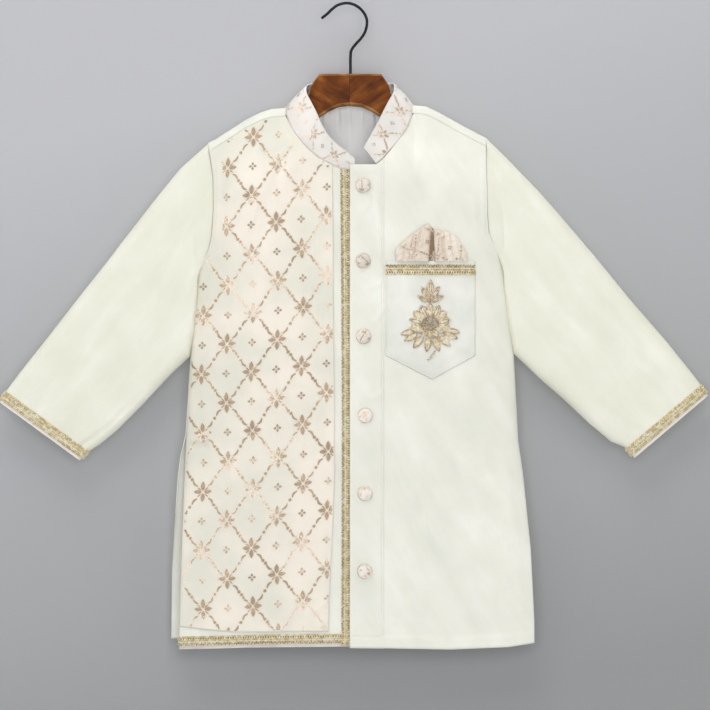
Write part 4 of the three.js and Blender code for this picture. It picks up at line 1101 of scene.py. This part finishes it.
def cuff(side, grid):
    """The braid and the white lining edge at a sleeve's end."""
    end = grid[-1]
    back = unit(grid[-12] - end)
    normal = grid_normals(grid, True, ring_outward(grid))[-3]
    over = loop_of(back)
    trim = braid(f"cuff_braid_{side}", loop_of(end) - over * 0.9, loop_of(normal), over, 1.12,
                 (GOLD, PALE_GOLD, GOLD, STRAW))
    ride(trim, "gold_braid", f"braid_cuff_{side}")
    rows = np.linspace(2.0, -CUFF_EDGE - 0.2, 8)[:, None, None]
    edge = (end + (end.mean(axis=0) - end) * 0.02)[None] + back[None] * rows
    edge[:, :, 1] *= 0.9
    lining = wall(f"cuff_edge_{side}", edge, [CUFF_WHITE, INSIDE], ring_outward(edge), 0.8, True)
    ride(lining, "white_lining", f"cuff_lining_{side}")
    return trim, lining, edge


sleeves = []
for side, half, stations in (("right", RIGHT, SLEEVE_RIGHT), ("left", LEFT, SLEEVE_LEFT)):
    grid = sleeve_grid(side, half, stations)
    made = wall(f"sleeve_{side}_cloth", grid, [SLEEVES[side], INSIDE], ring_outward(grid), closed=True)
    ride(made, "cream_cloth", f"sleeve_{side}")
    sleeves.append((made, grid, *cuff(side, grid)))


# Braids on the body


def front_braid(name, node, x, z, over, surface, size=1.0):
    """A braid along a line on the front."""
    d = 0.5
    dx = (surface(x + d, z) - surface(x - d, z)) / (2 * d)
    dz = (surface(x, z + d) - surface(x, z - d)) / (2 * d)
    normal = unit(np.cross(dx, dz))
    normal *= np.where((normal @ FORWARD) < 0, -1, 1)[:, None]
    across = unit(over[0] * dx + over[1] * dz)
    return ride(braid(name, surface(x, z), normal, across, size), "gold_braid", node)


z = np.linspace(-172.6, -667.5, 330)
x = lerp(look(BRAID_LEFT, z), BRAID_RIGHT - BRAID - 2.6, 0.5)
braid_front = front_braid("braid_down_front", "braid_front", x, z, (1, 0), right_front)

x = np.linspace(-175.5, 3.0, 200)
z = look(HEM_RIGHT, x) + 0.2
braid_hem = front_braid("braid_along_hem", "braid_hem", x, z, (0, 1), right_front)

x, down = np.meshgrid(np.linspace(-174.6, 7.0, 150), np.linspace(0, FACING + 0.6, 6))
facing_grid = right_front(x, look(HEM_RIGHT, x) + 0.6 - down, -0.2)
facing = wall("hem_facing_edge", facing_grid, [HEM_WHITE_SHADED, WHITE], FORWARD, 0.8)
ride(facing, "white_lining", "hem_facing")

# Collar
COLLAR_COLUMNS = 260
COLLAR_ROWS = 16


def spline(table, count):
    """A smooth curve through a table's rows, by the length between them."""
    rows = np.array(table, float)
    run = np.concatenate([[0], np.cumsum(np.linalg.norm(np.diff(rows, axis=0), axis=1) ** 0.5)])
    padded = np.concatenate([2 * rows[:1] - rows[1:2], rows, 2 * rows[-1:] - rows[-2:-1]])
    places = np.linspace(0, run[-1], count)
    number = np.clip(np.searchsorted(run, places, side="right") - 1, 0, len(rows) - 2)
    q = ((places - run[number]) / (run[number + 1] - run[number]))[:, None]
    a, b, c, d = (padded[number + k] for k in range(4))
    return 0.5 * (2 * b + (c - a) * q + (2 * a - 5 * b + 4 * c - d) * q ** 2 +
                  (3 * b - a - 3 * c + d) * q ** 3)


stations = spline(COLLAR, COLLAR_COLUMNS)
seam, top = stations[:, :3], stations[:, 3:]
number, high = np.meshgrid(np.linspace(0, 1, COLLAR_COLUMNS), np.linspace(0, 1, COLLAR_ROWS))
collar_grid = lerp(seam, top, high[..., None])
bulge = COLLAR_BULGE * np.sin(np.pi * high)
collar_grid[..., 0] += bulge * np.sign(seam[:, 0]) * np.minimum(1, np.abs(seam[:, 0]) / 60)
collar_grid[..., 1] += bulge * np.clip(seam[:, 1] / 6, -1, 1)
outward = collar_grid * [1, 1, 0] - [3, 0, 0]
collar_normals = grid_normals(collar_grid, False, outward)
wrinkle = 0.35 * np.sin(46 * number) * np.sin(np.pi * high)
collar_grid = collar_grid + collar_normals * wrinkle[..., None]
collar = wall("collar_band", collar_grid, [COLLAR_GROUND, WHITE], outward, COLLAR_CLOTH)
ride(collar, "brocade", "collar")

heap = Heap()
heap.tube(collar_grid[0] + collar_normals[0] * 0.25, 0.28)
piping = ride(heap.make("collar_piping", [PALE_ROSE]), "gold_braid")


# Pocket and its square


def pocket_foot(x):
    to_left = (x - POCKET["left"]) / (POCKET["point_x"] - POCKET["left"])
    to_right = (POCKET["right"] - x) / (POCKET["right"] - POCKET["point_x"])
    return lerp(POCKET["corner"], POCKET["point"], np.minimum(to_left, to_right))


def on_pocket(x, z, off=0.0):
    """The pocket stands off the front, lies down at its sewn edges and has a stitched crease."""
    to_edge = np.minimum(np.minimum(x - POCKET["left"], POCKET["right"] - x),
                         (z - pocket_foot(x)) * 0.9)
    rise = POCKET_OFF + 0.9 * ease((to_edge - 2) / 14) - 0.9 * (1 - quarter(to_edge, 1.2))
    soft = 0.35 * np.sin(x * 0.09 + z * 0.05) + 0.25 * np.sin(x * 0.05 - z * 0.12 + 1)
    rise = rise - 0.3 * bell(to_edge - 2.2, 0.7) + soft * ease(to_edge / 12)
    return left_front(x, z, rise + off)


x, share = np.meshgrid(np.linspace(POCKET["left"], POCKET["right"], 100), np.linspace(0, 1, 120))
pocket_grid = on_pocket(x, lerp(POCKET["top"], pocket_foot(x), share))
pocket = wall("pocket_patch", pocket_grid, [SATIN, WHITE], FORWARD, 0.7)
ride(pocket, "white_lining", "pocket")

x = np.linspace(POCKET["left"] + 0.4, POCKET["right"] - 0.4, 120)
z = np.full_like(x, POCKET["top"] - POCKET_RIM)
pocket_braid = front_braid("pocket_top_braid", "braid_pocket", x, z, (0, -1), on_pocket, 1.12)


def up_square(x, z):
    return (z - SQUARE_FOOT) / (look(SQUARE_TOP, x) - SQUARE_FOOT)


def on_square(x, z, off=0.0):
    """Lobes of folded brocade with deep slits between them."""
    up = up_square(x, z)
    rise = 1.2 + 0 * x
    for foot_x, top_x, wide, high in SQUARE_LOBES:
        across = (x - lerp(foot_x, top_x, up)) / (wide * 1.25)
        rise = np.maximum(rise, 1.2 + high * np.sqrt(np.maximum(0, 1 - across ** 2)))
    for foot_x, top_x, wide, deep in SQUARE_SLITS:
        rise = rise - deep * bell(x - lerp(foot_x, top_x, up), wide)
    crumple = 0.35 * np.sin(x * 0.7 + z * 0.4) + 0.25 * np.sin(x * 0.35 - z * 0.9)
    rim = quarter((1 - up) * 12, 3)
    return left_front(x, z, 0.6 + np.maximum(rise + crumple, 0.3) * (0.25 + 0.75 * rim) + off)


x, share = np.meshgrid(np.linspace(SQUARE_TOP[0][0], SQUARE_TOP[-1][0], 150), np.linspace(0, 1, 60))
z = lerp(SQUARE_FOOT, look(SQUARE_TOP, x), share)
square_grid = on_square(x, z)
square = wall("pocket_square_cloth", square_grid, [BLUSH, SHADE], FORWARD, 0.6)
# Painted shade: the faces along the square's middle slit take the darker brocade
slit_x = lerp(SQUARE_SLITS[0][0], SQUARE_SLITS[0][1], share)
deep = (np.abs(x - slit_x) < SLIT_SHADE_HALF * (1 - 0.75 * share))[:-1, :-1].ravel()
indices = np.zeros(len(square.data.polygons), np.int32)
square.data.polygons.foreach_get("material_index", indices)
indices[:len(deep)] = deep
square.data.polygons.foreach_set("material_index", indices)
ride(square, "brocade", "pocket_square")


# Woven figures of the brocade: flowers on a half-drop lattice, joined by lines and dots


def strip(middle, normal, half):
    """A strip of points either side of a middle line."""
    return np.stack([middle + normal * half, middle - normal * half], 1)


def petal(length, wide, degrees, start):
    """A pointed petal."""
    t = np.linspace(0, 1, 9)[:, None]
    turn = math.radians(degrees)
    way = np.array([math.cos(turn), math.sin(turn)])
    half = wide / 2 * np.sin(np.pi * t ** 0.85) ** 0.8
    return strip((start + length * t) * way, np.array([-way[1], way[0]]), half)


def dot(radius, centre):
    t = np.linspace(0, np.pi, 7)[:, None]
    return strip(centre - radius * np.cos(t) * [1, 0], np.array([0, 1]), radius * np.sin(t))


def stroke(start, end, wide, bow):
    """A line bowed a little sideways."""
    t = np.linspace(0, 1, 7)[:, None]
    way = end - start
    normal = np.array([-way[1], way[0]]) / math.hypot(*way)
    swell = np.sin(np.pi * t)
    return strip(start + way * t + normal * bow * swell, normal, wide / 2 * (0.55 + 0.45 * swell))


def repeat_figures():
    """The figures of one flower, its connectors' halves and one cell middle, and their outlines.

    Each is (strip, material number, height over the cloth)."""
    outlines = []
    figures = []
    for degrees, length, wide in ((90, 9.8, 4.5), (270, 9.2, 4.3), (4, 8.0, 4.2), (176, 8.0, 4.2)):
        outlines.append(petal(length + 1.6, wide + 2.6, degrees, 0.5))
        figures.append(petal(length, wide, degrees, 1.3))
    for degrees in (42, 138, 222, 318):
        outlines.append(petal(7.8, 3.2, degrees, 0.8))
        figures.append(petal(5.4, 1.2, degrees, 2.4))
    for sign, joints in ((-1, (0.5,)), (1, (0.46, 0.56))):
        corner = np.array([sign * CELL_X / 2, -CELL_Z / 2])
        for a, b, bow in ((0.22, 0.42, 1.2), (0.6, 0.8, -1.2)):
            outlines.append(stroke(corner * a, corner * b, 3.4, bow * sign))
            figures.append(stroke(corner * a, corner * b, 2.1, bow * sign))
        for joint in joints:
            outlines.append(dot(2.2, corner * joint))
            figures.append(dot(1.6, corner * joint))
    middle = np.array([0, CELL_Z / 2])
    figures += [petal(3.3, 2.6, degrees, 0.9) + middle for degrees in (0, 90, 180, 270)]
    figures.append(dot(0.5, middle))
    return [(shape, 1, 0.0) for shape in outlines] + [(shape, 0, 0.1) for shape in figures]


FIGURES = repeat_figures()


def turned(points, angle):
    ca, sa = math.cos(angle), math.sin(angle)
    return np.stack([points[..., 0] * ca - points[..., 1] * sa,
                     points[..., 0] * sa + points[..., 1] * ca], -1)


def weave(heap, surface, inside, span, shift, turn=0.0, size=1.0, mirrored=False):
    """Lays the figures over a span (low u, high u, low v, high v) of a cloth."""
    cell = np.array([CELL_X / 2, CELL_Z]) * size
    corners = [(u, v - TILT * u) for u in span[:2] for v in span[2:]]
    corners = turned(np.array(corners) - shift, -turn)
    first = (corners.min(0) / cell).astype(int) - 2
    last = (corners.max(0) / cell).astype(int) + 2
    for i in range(first[0], last[0] + 1):
        for j in range(first[1], last[1] + 1):
            centre = np.array([i, j + 0.5 * (i % 2)]) * cell
            for shape, index, high in FIGURES:
                points = turned(shape * size + centre, turn) + shift
                points[..., 1] += TILT * points[..., 0]
                drift = 1.1 * np.sin(points[..., ::-1] * 0.037 + np.array([0.4, 2.1]))
                u, v = np.moveaxis(points + drift, -1, 0)
                fits = inside(u, v).all(axis=1)
                faces = [[2 * k, 2 * k + 1, 2 * k + 3, 2 * k + 2] for k in range(len(u) - 1)
                         if fits[k] and fits[k + 1]]
                if mirrored:
                    faces = [face[::-1] for face in faces]
                if faces:
                    heap.add(surface(u, v, FIGURE_OFF + high), faces, index)


def woven(name, materials, surface, inside, span, shift, **settings):
    """A piece of woven figures."""
    heap = Heap()
    weave(heap, surface, inside, span, shift, **settings)
    return ride(heap.make(name, materials), "brocade")


def in_overlay(x, z):
    plain = 1.2 + 9 * ease((z + 268) / 30)
    within = (x < look(OVERLAY_EDGE, z) - 0.6) & (-x < edge_x(RIGHT, z) - plain)
    return within & (z < top_z(RIGHT, x, -x) - 0.8) & (z > look(OVERLAY_FOOT, x) + 0.8)


lattice = woven("brocade_lattice", [ROSE, PALE_ROSE], on_overlay, in_overlay,
                (-180, 0, -680, -80), (-124, -282))

collar_run = run_along(seam * 0.5 + top * 0.5)


def on_collar(u, v, off):
    """A place on the collar: u runs along it, and v up it."""
    number = np.interp(u, collar_run, np.arange(COLLAR_COLUMNS))
    low = np.clip(number.astype(int), 0, COLLAR_COLUMNS - 2)
    row = np.clip(v / COLLAR_HIGH, 0, 1) * (COLLAR_ROWS - 1)
    r = np.clip(row.astype(int), 0, COLLAR_ROWS - 2)
    part, up = (number - low)[..., None], (row - r)[..., None]

    def mix(grid):
        return lerp(lerp(grid[r, low], grid[r, low + 1], part),
                    lerp(grid[r + 1, low], grid[r + 1, low + 1], part), up)

    return mix(collar_grid) + (off + 0.02) * mix(collar_normals)


def in_collar(u, v):
    return (u > 1) & (u < collar_run[-1] - 1) & (v > 1.2) & (v < COLLAR_HIGH - 1)


collar_lattice = woven("collar_lattice", [COLLAR_ROSE, PALE_ROSE], on_collar, in_collar,
                       (0, collar_run[-1], -10, 40), (22, 10), size=0.6, mirrored=True)


def in_square(x, z):
    return (x > 53) & (x < 122) & (z < look(SQUARE_TOP, x) - 1.5) & (z > POCKET["top"])


square_lattice = woven("pocket_square_figures", [COLLAR_ROSE, PALE_ROSE],
                       lambda x, z, off: on_square(x, z, off + 0.02), in_square,
                       (40, 140, -300, -200), (70, -262), turn=0.5, size=0.62)

# Buttons
BUTTON_SIDES = 44
BUTTON_RINGS = 12


def dome(r):
    """Height of the covered button over its rim at a distance from its middle."""
    return BUTTON_H * np.sqrt(np.maximum(0, 1 - (r / (BUTTON_R * 1.02)) ** 2)) ** 0.9


def button_cover(number, bx, bz):
    """A button covered in brocade, pleated under its rim, with a tan cord ring round the rim that paints the
    shade of its edge.
    """
    rim = turns(16)
    rim = left_front(bx + BUTTON_R * np.cos(rim), bz + BUTTON_R * np.sin(rim), 1.3)
    seat = rim[:, 1].max() - 0.2
    turn = turns(BUTTON_SIDES)[None, :]
    r = BUTTON_R * np.sin(np.linspace(0.02, np.pi / 2, BUTTON_RINGS))[:, None]
    pleat = 0.12 * np.sin(turn * 11 + number) * (r / BUTTON_R) ** 3
    y = np.concatenate([seat - 0.9 - dome(r) - pleat, np.full_like(turn, seat + 0.3)])
    r = np.concatenate([r, [[BUTTON_R * 0.93]]])
    grid = np.stack([bx + r * np.cos(turn), y, bz + r * np.sin(turn)], -1)
    heap = Heap()
    heap.add(grid, quads(len(grid), BUTTON_SIDES) + caps(len(grid), BUTTON_SIDES))

    def on_button(u, v, off):
        return np.stack([u, seat - 0.88 - off - dome(np.hypot(u - bx, v - bz)), v], -1)

    def in_button(u, v):
        return np.hypot(u - bx, v - bz) < BUTTON_R * 0.9

    figures = Heap()
    weave(figures, on_button, in_button, (bx - 12, bx + 12, bz - 12, bz + 12),
          np.array([3, 7]) * number, 0.7 * number, 0.36)
    if figures.count:
        heap.add(np.concatenate(figures.points), figures.faces, 1)
    # Painted shade: a tan cord ring round the rim stands for the dark edge of the dome
    heap.tube(loop_of(grid[-2]) + [0, 0.1, 0], 0.35, 6, 2)
    made = heap.make(f"button_cover_{number}", [BUTTON_CLOTH, ROSE, CORD])
    return ride(made, "brocade", f"button_{number}")


buttons = [button_cover(number, bx, bz) for number, (bx, bz) in enumerate(BUTTONS, 1)]


# The flower on the pocket: gold cord leaves and petals filled with coils, beads in its middle


def motif_leaf(heap, x, z, degrees, length, wide, index=0):
    """A leaf from (x, z) on: a low coiled filling, a cord round it and one inside."""
    t = np.linspace(0, 1, 13)[:, None]
    side = np.linspace(-1, 1, 7)[None, :]
    along = length * t + 0 * side
    over = wide / 2 * np.sin(np.pi * t ** 0.8) ** 0.75 * side
    leaf = turned(np.stack([along, over], -1), math.radians(degrees)) + [x, z]
    rib = 0.16 * np.cos(along * 2 * np.pi / 1.5)
    high = 0.5 + 0.9 * np.sqrt(np.maximum(0, 1 - side ** 2)) * np.sin(np.pi * t)
    heap.add(on_pocket(leaf[..., 0], leaf[..., 1], high + rib), quads(13, 7, False), index)
    outline = np.concatenate([leaf[:, 0], leaf[::-1, -1]])
    heap.tube(on_pocket(*outline.T, 0.8), 0.66, 6, 3, closed=True)
    inner = np.concatenate([leaf[2:-2, 2], leaf[-3:1:-1, -3]])
    heap.tube(on_pocket(*inner.T, 1.5), 0.42, 5, 2 if index else 1, closed=True)


def round_motif(degrees, far, flat=1.0):
    """A place round the flower's middle."""
    turn = math.radians(degrees)
    return MOTIF_X + far * math.cos(turn), MOTIF_Z + far * flat * math.sin(turn)


heap = Heap()
for degrees, length, wide, root in MOTIF_CROWN:
    motif_leaf(heap, MOTIF_X + 0.2, MOTIF_Z + 18 + root, degrees, length, wide, 1)
for k in range(9):
    degrees = -12 + 204 * k / 8
    motif_leaf(heap, *round_motif(degrees, 8.5), degrees, 13.5, 8.6, k % 2)
for k in range(5):
    degrees = 215 + 110 * k / 4
    motif_leaf(heap, *round_motif(degrees, 7, 5 / 7), degrees, 9.5, 6)
for degrees, length, wide, start in MOTIF_LOWER:
    x, z = round_motif(degrees, start, 0.8)
    motif_leaf(heap, x, z - 4, degrees, length, wide)
t = np.linspace(0, 1, 16)
stem = on_pocket(MOTIF_X + 5 - 8 * t, MOTIF_Z - 27 - 9.5 * t - 1.5 * np.sin(np.pi * t), 0.8)
heap.tube(stem, 0.95, 7, 3)
for count, far, start in MOTIF_BEADS:
    for turn in turns(count) + start:
        bead = on_pocket(np.array([MOTIF_X + far * math.cos(turn)]),
                         np.array([MOTIF_Z + far * math.sin(turn)]), 1.2)
        heap.ball(bead[0], 1.35, 2)
motif = ride(heap.make("pocket_flower", [GOLD, PALE_GOLD, TAUPE, CORD]), "gold_braid",
             "pocket_motif")


# Sewing


def stitches(heap, x, z, surface, off=0.05, pitch=3.2, long=2.1, radius=0.28):
    """A row of stitches along a line on a surface."""
    run = run_along(np.stack([x, z], 1))
    for start in np.arange(0.5, run[-1] - long, pitch):
        along = start + np.linspace(0, long, 4)
        path = surface(np.interp(along, run, x), np.interp(along, run, z), off)
        heap.tube(path, [0.12, radius, radius, 0.12], 5)


heap = Heap()
z = np.linspace(-170, -668, 200)
stitches(heap, np.full_like(z, PLACKET_RIGHT - STITCH_IN), z, on_placket)
x = np.linspace(PLACKET_RIGHT + 1, 190, 100)
stitches(heap, x, look(HEM_LEFT, x) + HEM_TURN, left_front)
x = np.linspace(FRONT_LEFT_EDGE + 1.5, PLACKET_RIGHT - 3, 20)
stitches(heap, x, look(HEM_LEFT, x) + HEM_TURN, on_placket)
corners = np.array([
    (POCKET["left"] + 2.2, POCKET["top"] - 15), (POCKET["left"] + 2.2, POCKET["corner"] + 1.4),
    (POCKET["point_x"], POCKET["point"] + 2.6), (POCKET["right"] - 2.2, POCKET["corner"] + 1.4),
    (POCKET["right"] - 2.2, POCKET["top"] - 15),
])
path = np.linspace(0, 4, 200)
stitches(heap, np.interp(path, range(5), corners[:, 0]), np.interp(path, range(5), corners[:, 1]),
         on_pocket, 0.02, 2.8, 1.9, 0.24)
sewing = ride(heap.make("topstitching", [STITCH]), "cream_cloth")


# Hanger and hook


def hanger_rows():
    """Sections of the hanger: x, top, bottom and half thickness, from end to end."""
    yoke = np.array(HANGER, float)
    rows = []
    for side, half in ((-1, RIGHT), (1, LEFT)):
        q = np.linspace(0, 1, 24)
        far = lerp(ARM_START, ARM_END, q)
        slope = (look(half["shoulder"], far + 4) - look(half["shoulder"], far - 4)) / 8
        top = look(half["shoulder"], np.maximum(far, half["neck"])) - ARM_UNDER * np.hypot(1, slope)
        arm = np.stack([side * far, top, lerp(*ARM_BOTTOM, q), np.full_like(q, ARM_HALF)], 1)
        middle = np.stack([HANGER_CENTRE + side * yoke[:, 0], *yoke[:, 1:].T], 1)
        part = np.concatenate([middle, arm])
        rows.append(part[::-1] if side < 0 else part[1:])
    table = np.concatenate(rows)
    x = np.unique(np.concatenate([np.linspace(table[0, 0], table[-1, 0], 240), table[:, 0]]))
    return np.stack([x] + [np.interp(x, table[:, 0], column) for column in table.T[1:]], 1)


def board_section(x, top, bottom, half):
    """A board's section with rounded edges, rounder at its foot."""
    points = []
    for cy, cz, radius, start in ((-half, top, 2.0, 180), (half, top, 2.0, 90),
                                  (half, bottom, 3.4, 0), (-half, bottom, 3.4, -90)):
        sy, sz = (1 if cy < 0 else -1), (-1 if cz == top else 1)
        for k in range(6):
            turn = math.radians(start - 90 * k / 5)
            points.append((x, cy + sy * radius + radius * math.cos(turn),
                           cz + sz * radius + radius * math.sin(turn)))
    return points


rings = np.array([board_section(*row) for row in hanger_rows()])
count, sides = rings.shape[:2]
faces = quads(count, sides)
heap = Heap()
heap.add(rings, faces + caps(count, sides))
# The front's rounded edges take the lighter wood of painted highlight and wear
heap.indices = [int(k % sides in HIGHLIT_AND_WORN_EDGES) for k in range(len(faces))] + [0, 0]
ride(heap.make("hanger_board", [WOOD, HIGHLIT_AND_WORN_WOOD]), "hanger_wood", "hanger_wood")

heap = Heap()
line = spline([(x, 0, z) for x, z in HOOK], 160)
heap.tube(line, WIRE_R, 14)
heap.ball(line[0], WIRE_R * 1.02, 0, 14, 8)
ride(heap.make("hook_wire", [WIRE]), "hook_wire", "hanger_hook")

# Every cloth, with the size it was cut to
cloth(panel_right, base_grid, (184, 566), with_pieces=[braid_front, braid_hem])
cloth(brocade_front, overlay_grid, (170, 555), with_pieces=[lattice])
cloth(panel_left, left_grid, (200, 570), with_pieces=[sewing])
cloth(placket, placket_grid, (36, 506), rests_on=["panel_front_left"], with_pieces=buttons)
cloth(facing, facing_grid, (184, 10), rests_on=["panel_front_right"])
cloth(panel_back, back_grid, (385, 580))
cloth(lining, lining_grid, (100, 95), rests_on=["panel_back"])
for made, grid, trim, edge, edge_grid in sleeves:
    cloth(made, grid, (300, 330), with_pieces=[trim])
    cloth(edge, edge_grid, (240, 10), rests_on=[made.name])
cloth(collar, collar_grid, (320, 30), with_pieces=[piping, collar_lattice])
cloth(pocket, pocket_grid, (95, 125), rests_on=["panel_front_left"],
      with_pieces=[pocket_braid, motif])
cloth(square, square_grid, (110, 60), held="folded", rests_on=["pocket_patch"],
      with_pieces=[square_lattice])

# Camera, lights and floor
PX = 1.04  # millimetres to a photo pixel
CAMERA_AWAY = 5.2
SENSOR = 36
camera_data = bpy.data.cameras.new("camera")
camera = bpy.data.objects.new("camera", camera_data)
bpy.context.scene.collection.objects.link(camera)
camera.location = (8.7 * MM, -CAMERA_AWAY, -365.4 * MM)
camera.rotation_euler = (math.pi / 2, 0, 0)
camera_data.sensor_width = SENSOR
camera_data.lens = SENSOR * (CAMERA_AWAY - 0.012) / (710 * PX * MM)
camera_data.clip_start = 0.1
camera_data.clip_end = 60
bpy.context.scene.camera = camera

LIGHT = 0.92  # the strength of all the lights together
AIM = Vector((0, 0, -0.36))
LIGHTS = [
    # name, place, size, power, colour
    ("key", (-0.4, -1.3, 1.75), (1.5, 1.2), 23, (1.0, 0.99, 0.97)),
    ("front", (0.1, -3.4, -0.1), (2.6, 2.2), 58, (0.98, 0.99, 1.0)),
    ("back_soft", (0.4, 2.4, 1.4), (2.0, 2.0), 50, (1, 1, 1)),
    ("top", (0.1, 0.0, 2.2), (1.6, 1.6), 14, (1, 1, 1)),
    ("right_side", (2.2, -1.1, -0.2), (1.2, 1.6), 9, (1.0, 0.985, 0.95)),
    ("left_side", (-2.2, -1.1, -0.2), (1.2, 1.6), 9, (1, 1, 1)),
]
for name, place, size, power, colour in LIGHTS:
    data = bpy.data.lights.new(name, "AREA")
    data.shape = "RECTANGLE"
    data.size, data.size_y = size
    data.energy = power * LIGHT
    data.color = colour
    light = bpy.data.objects.new(name, data)
    light.location = place
    light.rotation_euler = (AIM - Vector(place)).to_track_quat("-Z", "Y").to_euler()
    bpy.context.scene.collection.objects.link(light)

world = bpy.data.worlds.new("studio")
bpy.context.scene.world = world
world.use_nodes = True
background = world.node_tree.nodes["Background"]
background.inputs["Color"].default_value = linear((180, 182, 186))
background.inputs["Strength"].default_value = 0.6 * LIGHT

# From the front the wall is grey, with painted shade that darkens it towards its foot and a little to the
# right. From behind it is clear, and it stops no light.
WALL_Y = 25
WALL_TOP = 20
WALL_FOOT = -760
nodes = Nodes("grey_wall", 0.9, specular=0.1)
wall_x, wall_z = (nodes.add("SeparateXYZ", name, {"Vector": nodes.place}) for name in "XZ")
# Painted shade: the grey darkens towards the wall's foot and a little to the right
height = nodes.math("SUBTRACT", nodes.sum((wall_z, 1), (wall_x, -0.25)), WALL_FOOT * MM)
nodes.colour(nodes.math("DIVIDE", height, (WALL_TOP - WALL_FOOT) * MM), (0.0, (150, 151, 151)),
             (0.25, (164, 165, 166)), (0.6, (175, 176, 178)), (0.9, (187, 187, 190)))
behind_it = nodes.add("NewGeometry", "Backfacing")
shadow = nodes.add("LightPath", "Is Shadow Ray")
clear = nodes.add("BsdfTransparent", "BSDF")
mixed = nodes.add("MixShader", "Shader", {0: nodes.math("MAXIMUM", behind_it, shadow),
                                          1: nodes.shader.outputs["BSDF"], 2: clear})
nodes.fill(nodes.tree.nodes["Material Output"], {"Surface": mixed})
corners = [(-3000, WALL_Y, -1300), (3000, WALL_Y, -1300), (3000, WALL_Y, 2200), (-3000, WALL_Y, 2200)]
backdrop = make_mesh("backdrop", corners, [[0, 1, 2, 3]], [nodes.material])

FLOOR_Z = -1300
nodes = Nodes("pale_floor", 0.8)
nodes.colour(nodes.noise(3, 2), (0.3, (206, 206, 208)), (0.7, (214, 214, 216)))
corners = [(-6000, -6000, FLOOR_Z), (6000, -6000, FLOOR_Z), (6000, 6000, FLOOR_Z), (-6000, 6000, FLOOR_Z)]
floor = make_mesh("floor", corners, [[0, 1, 2, 3]], [nodes.material])

bpy.context.scene.view_settings.view_transform = "Standard"
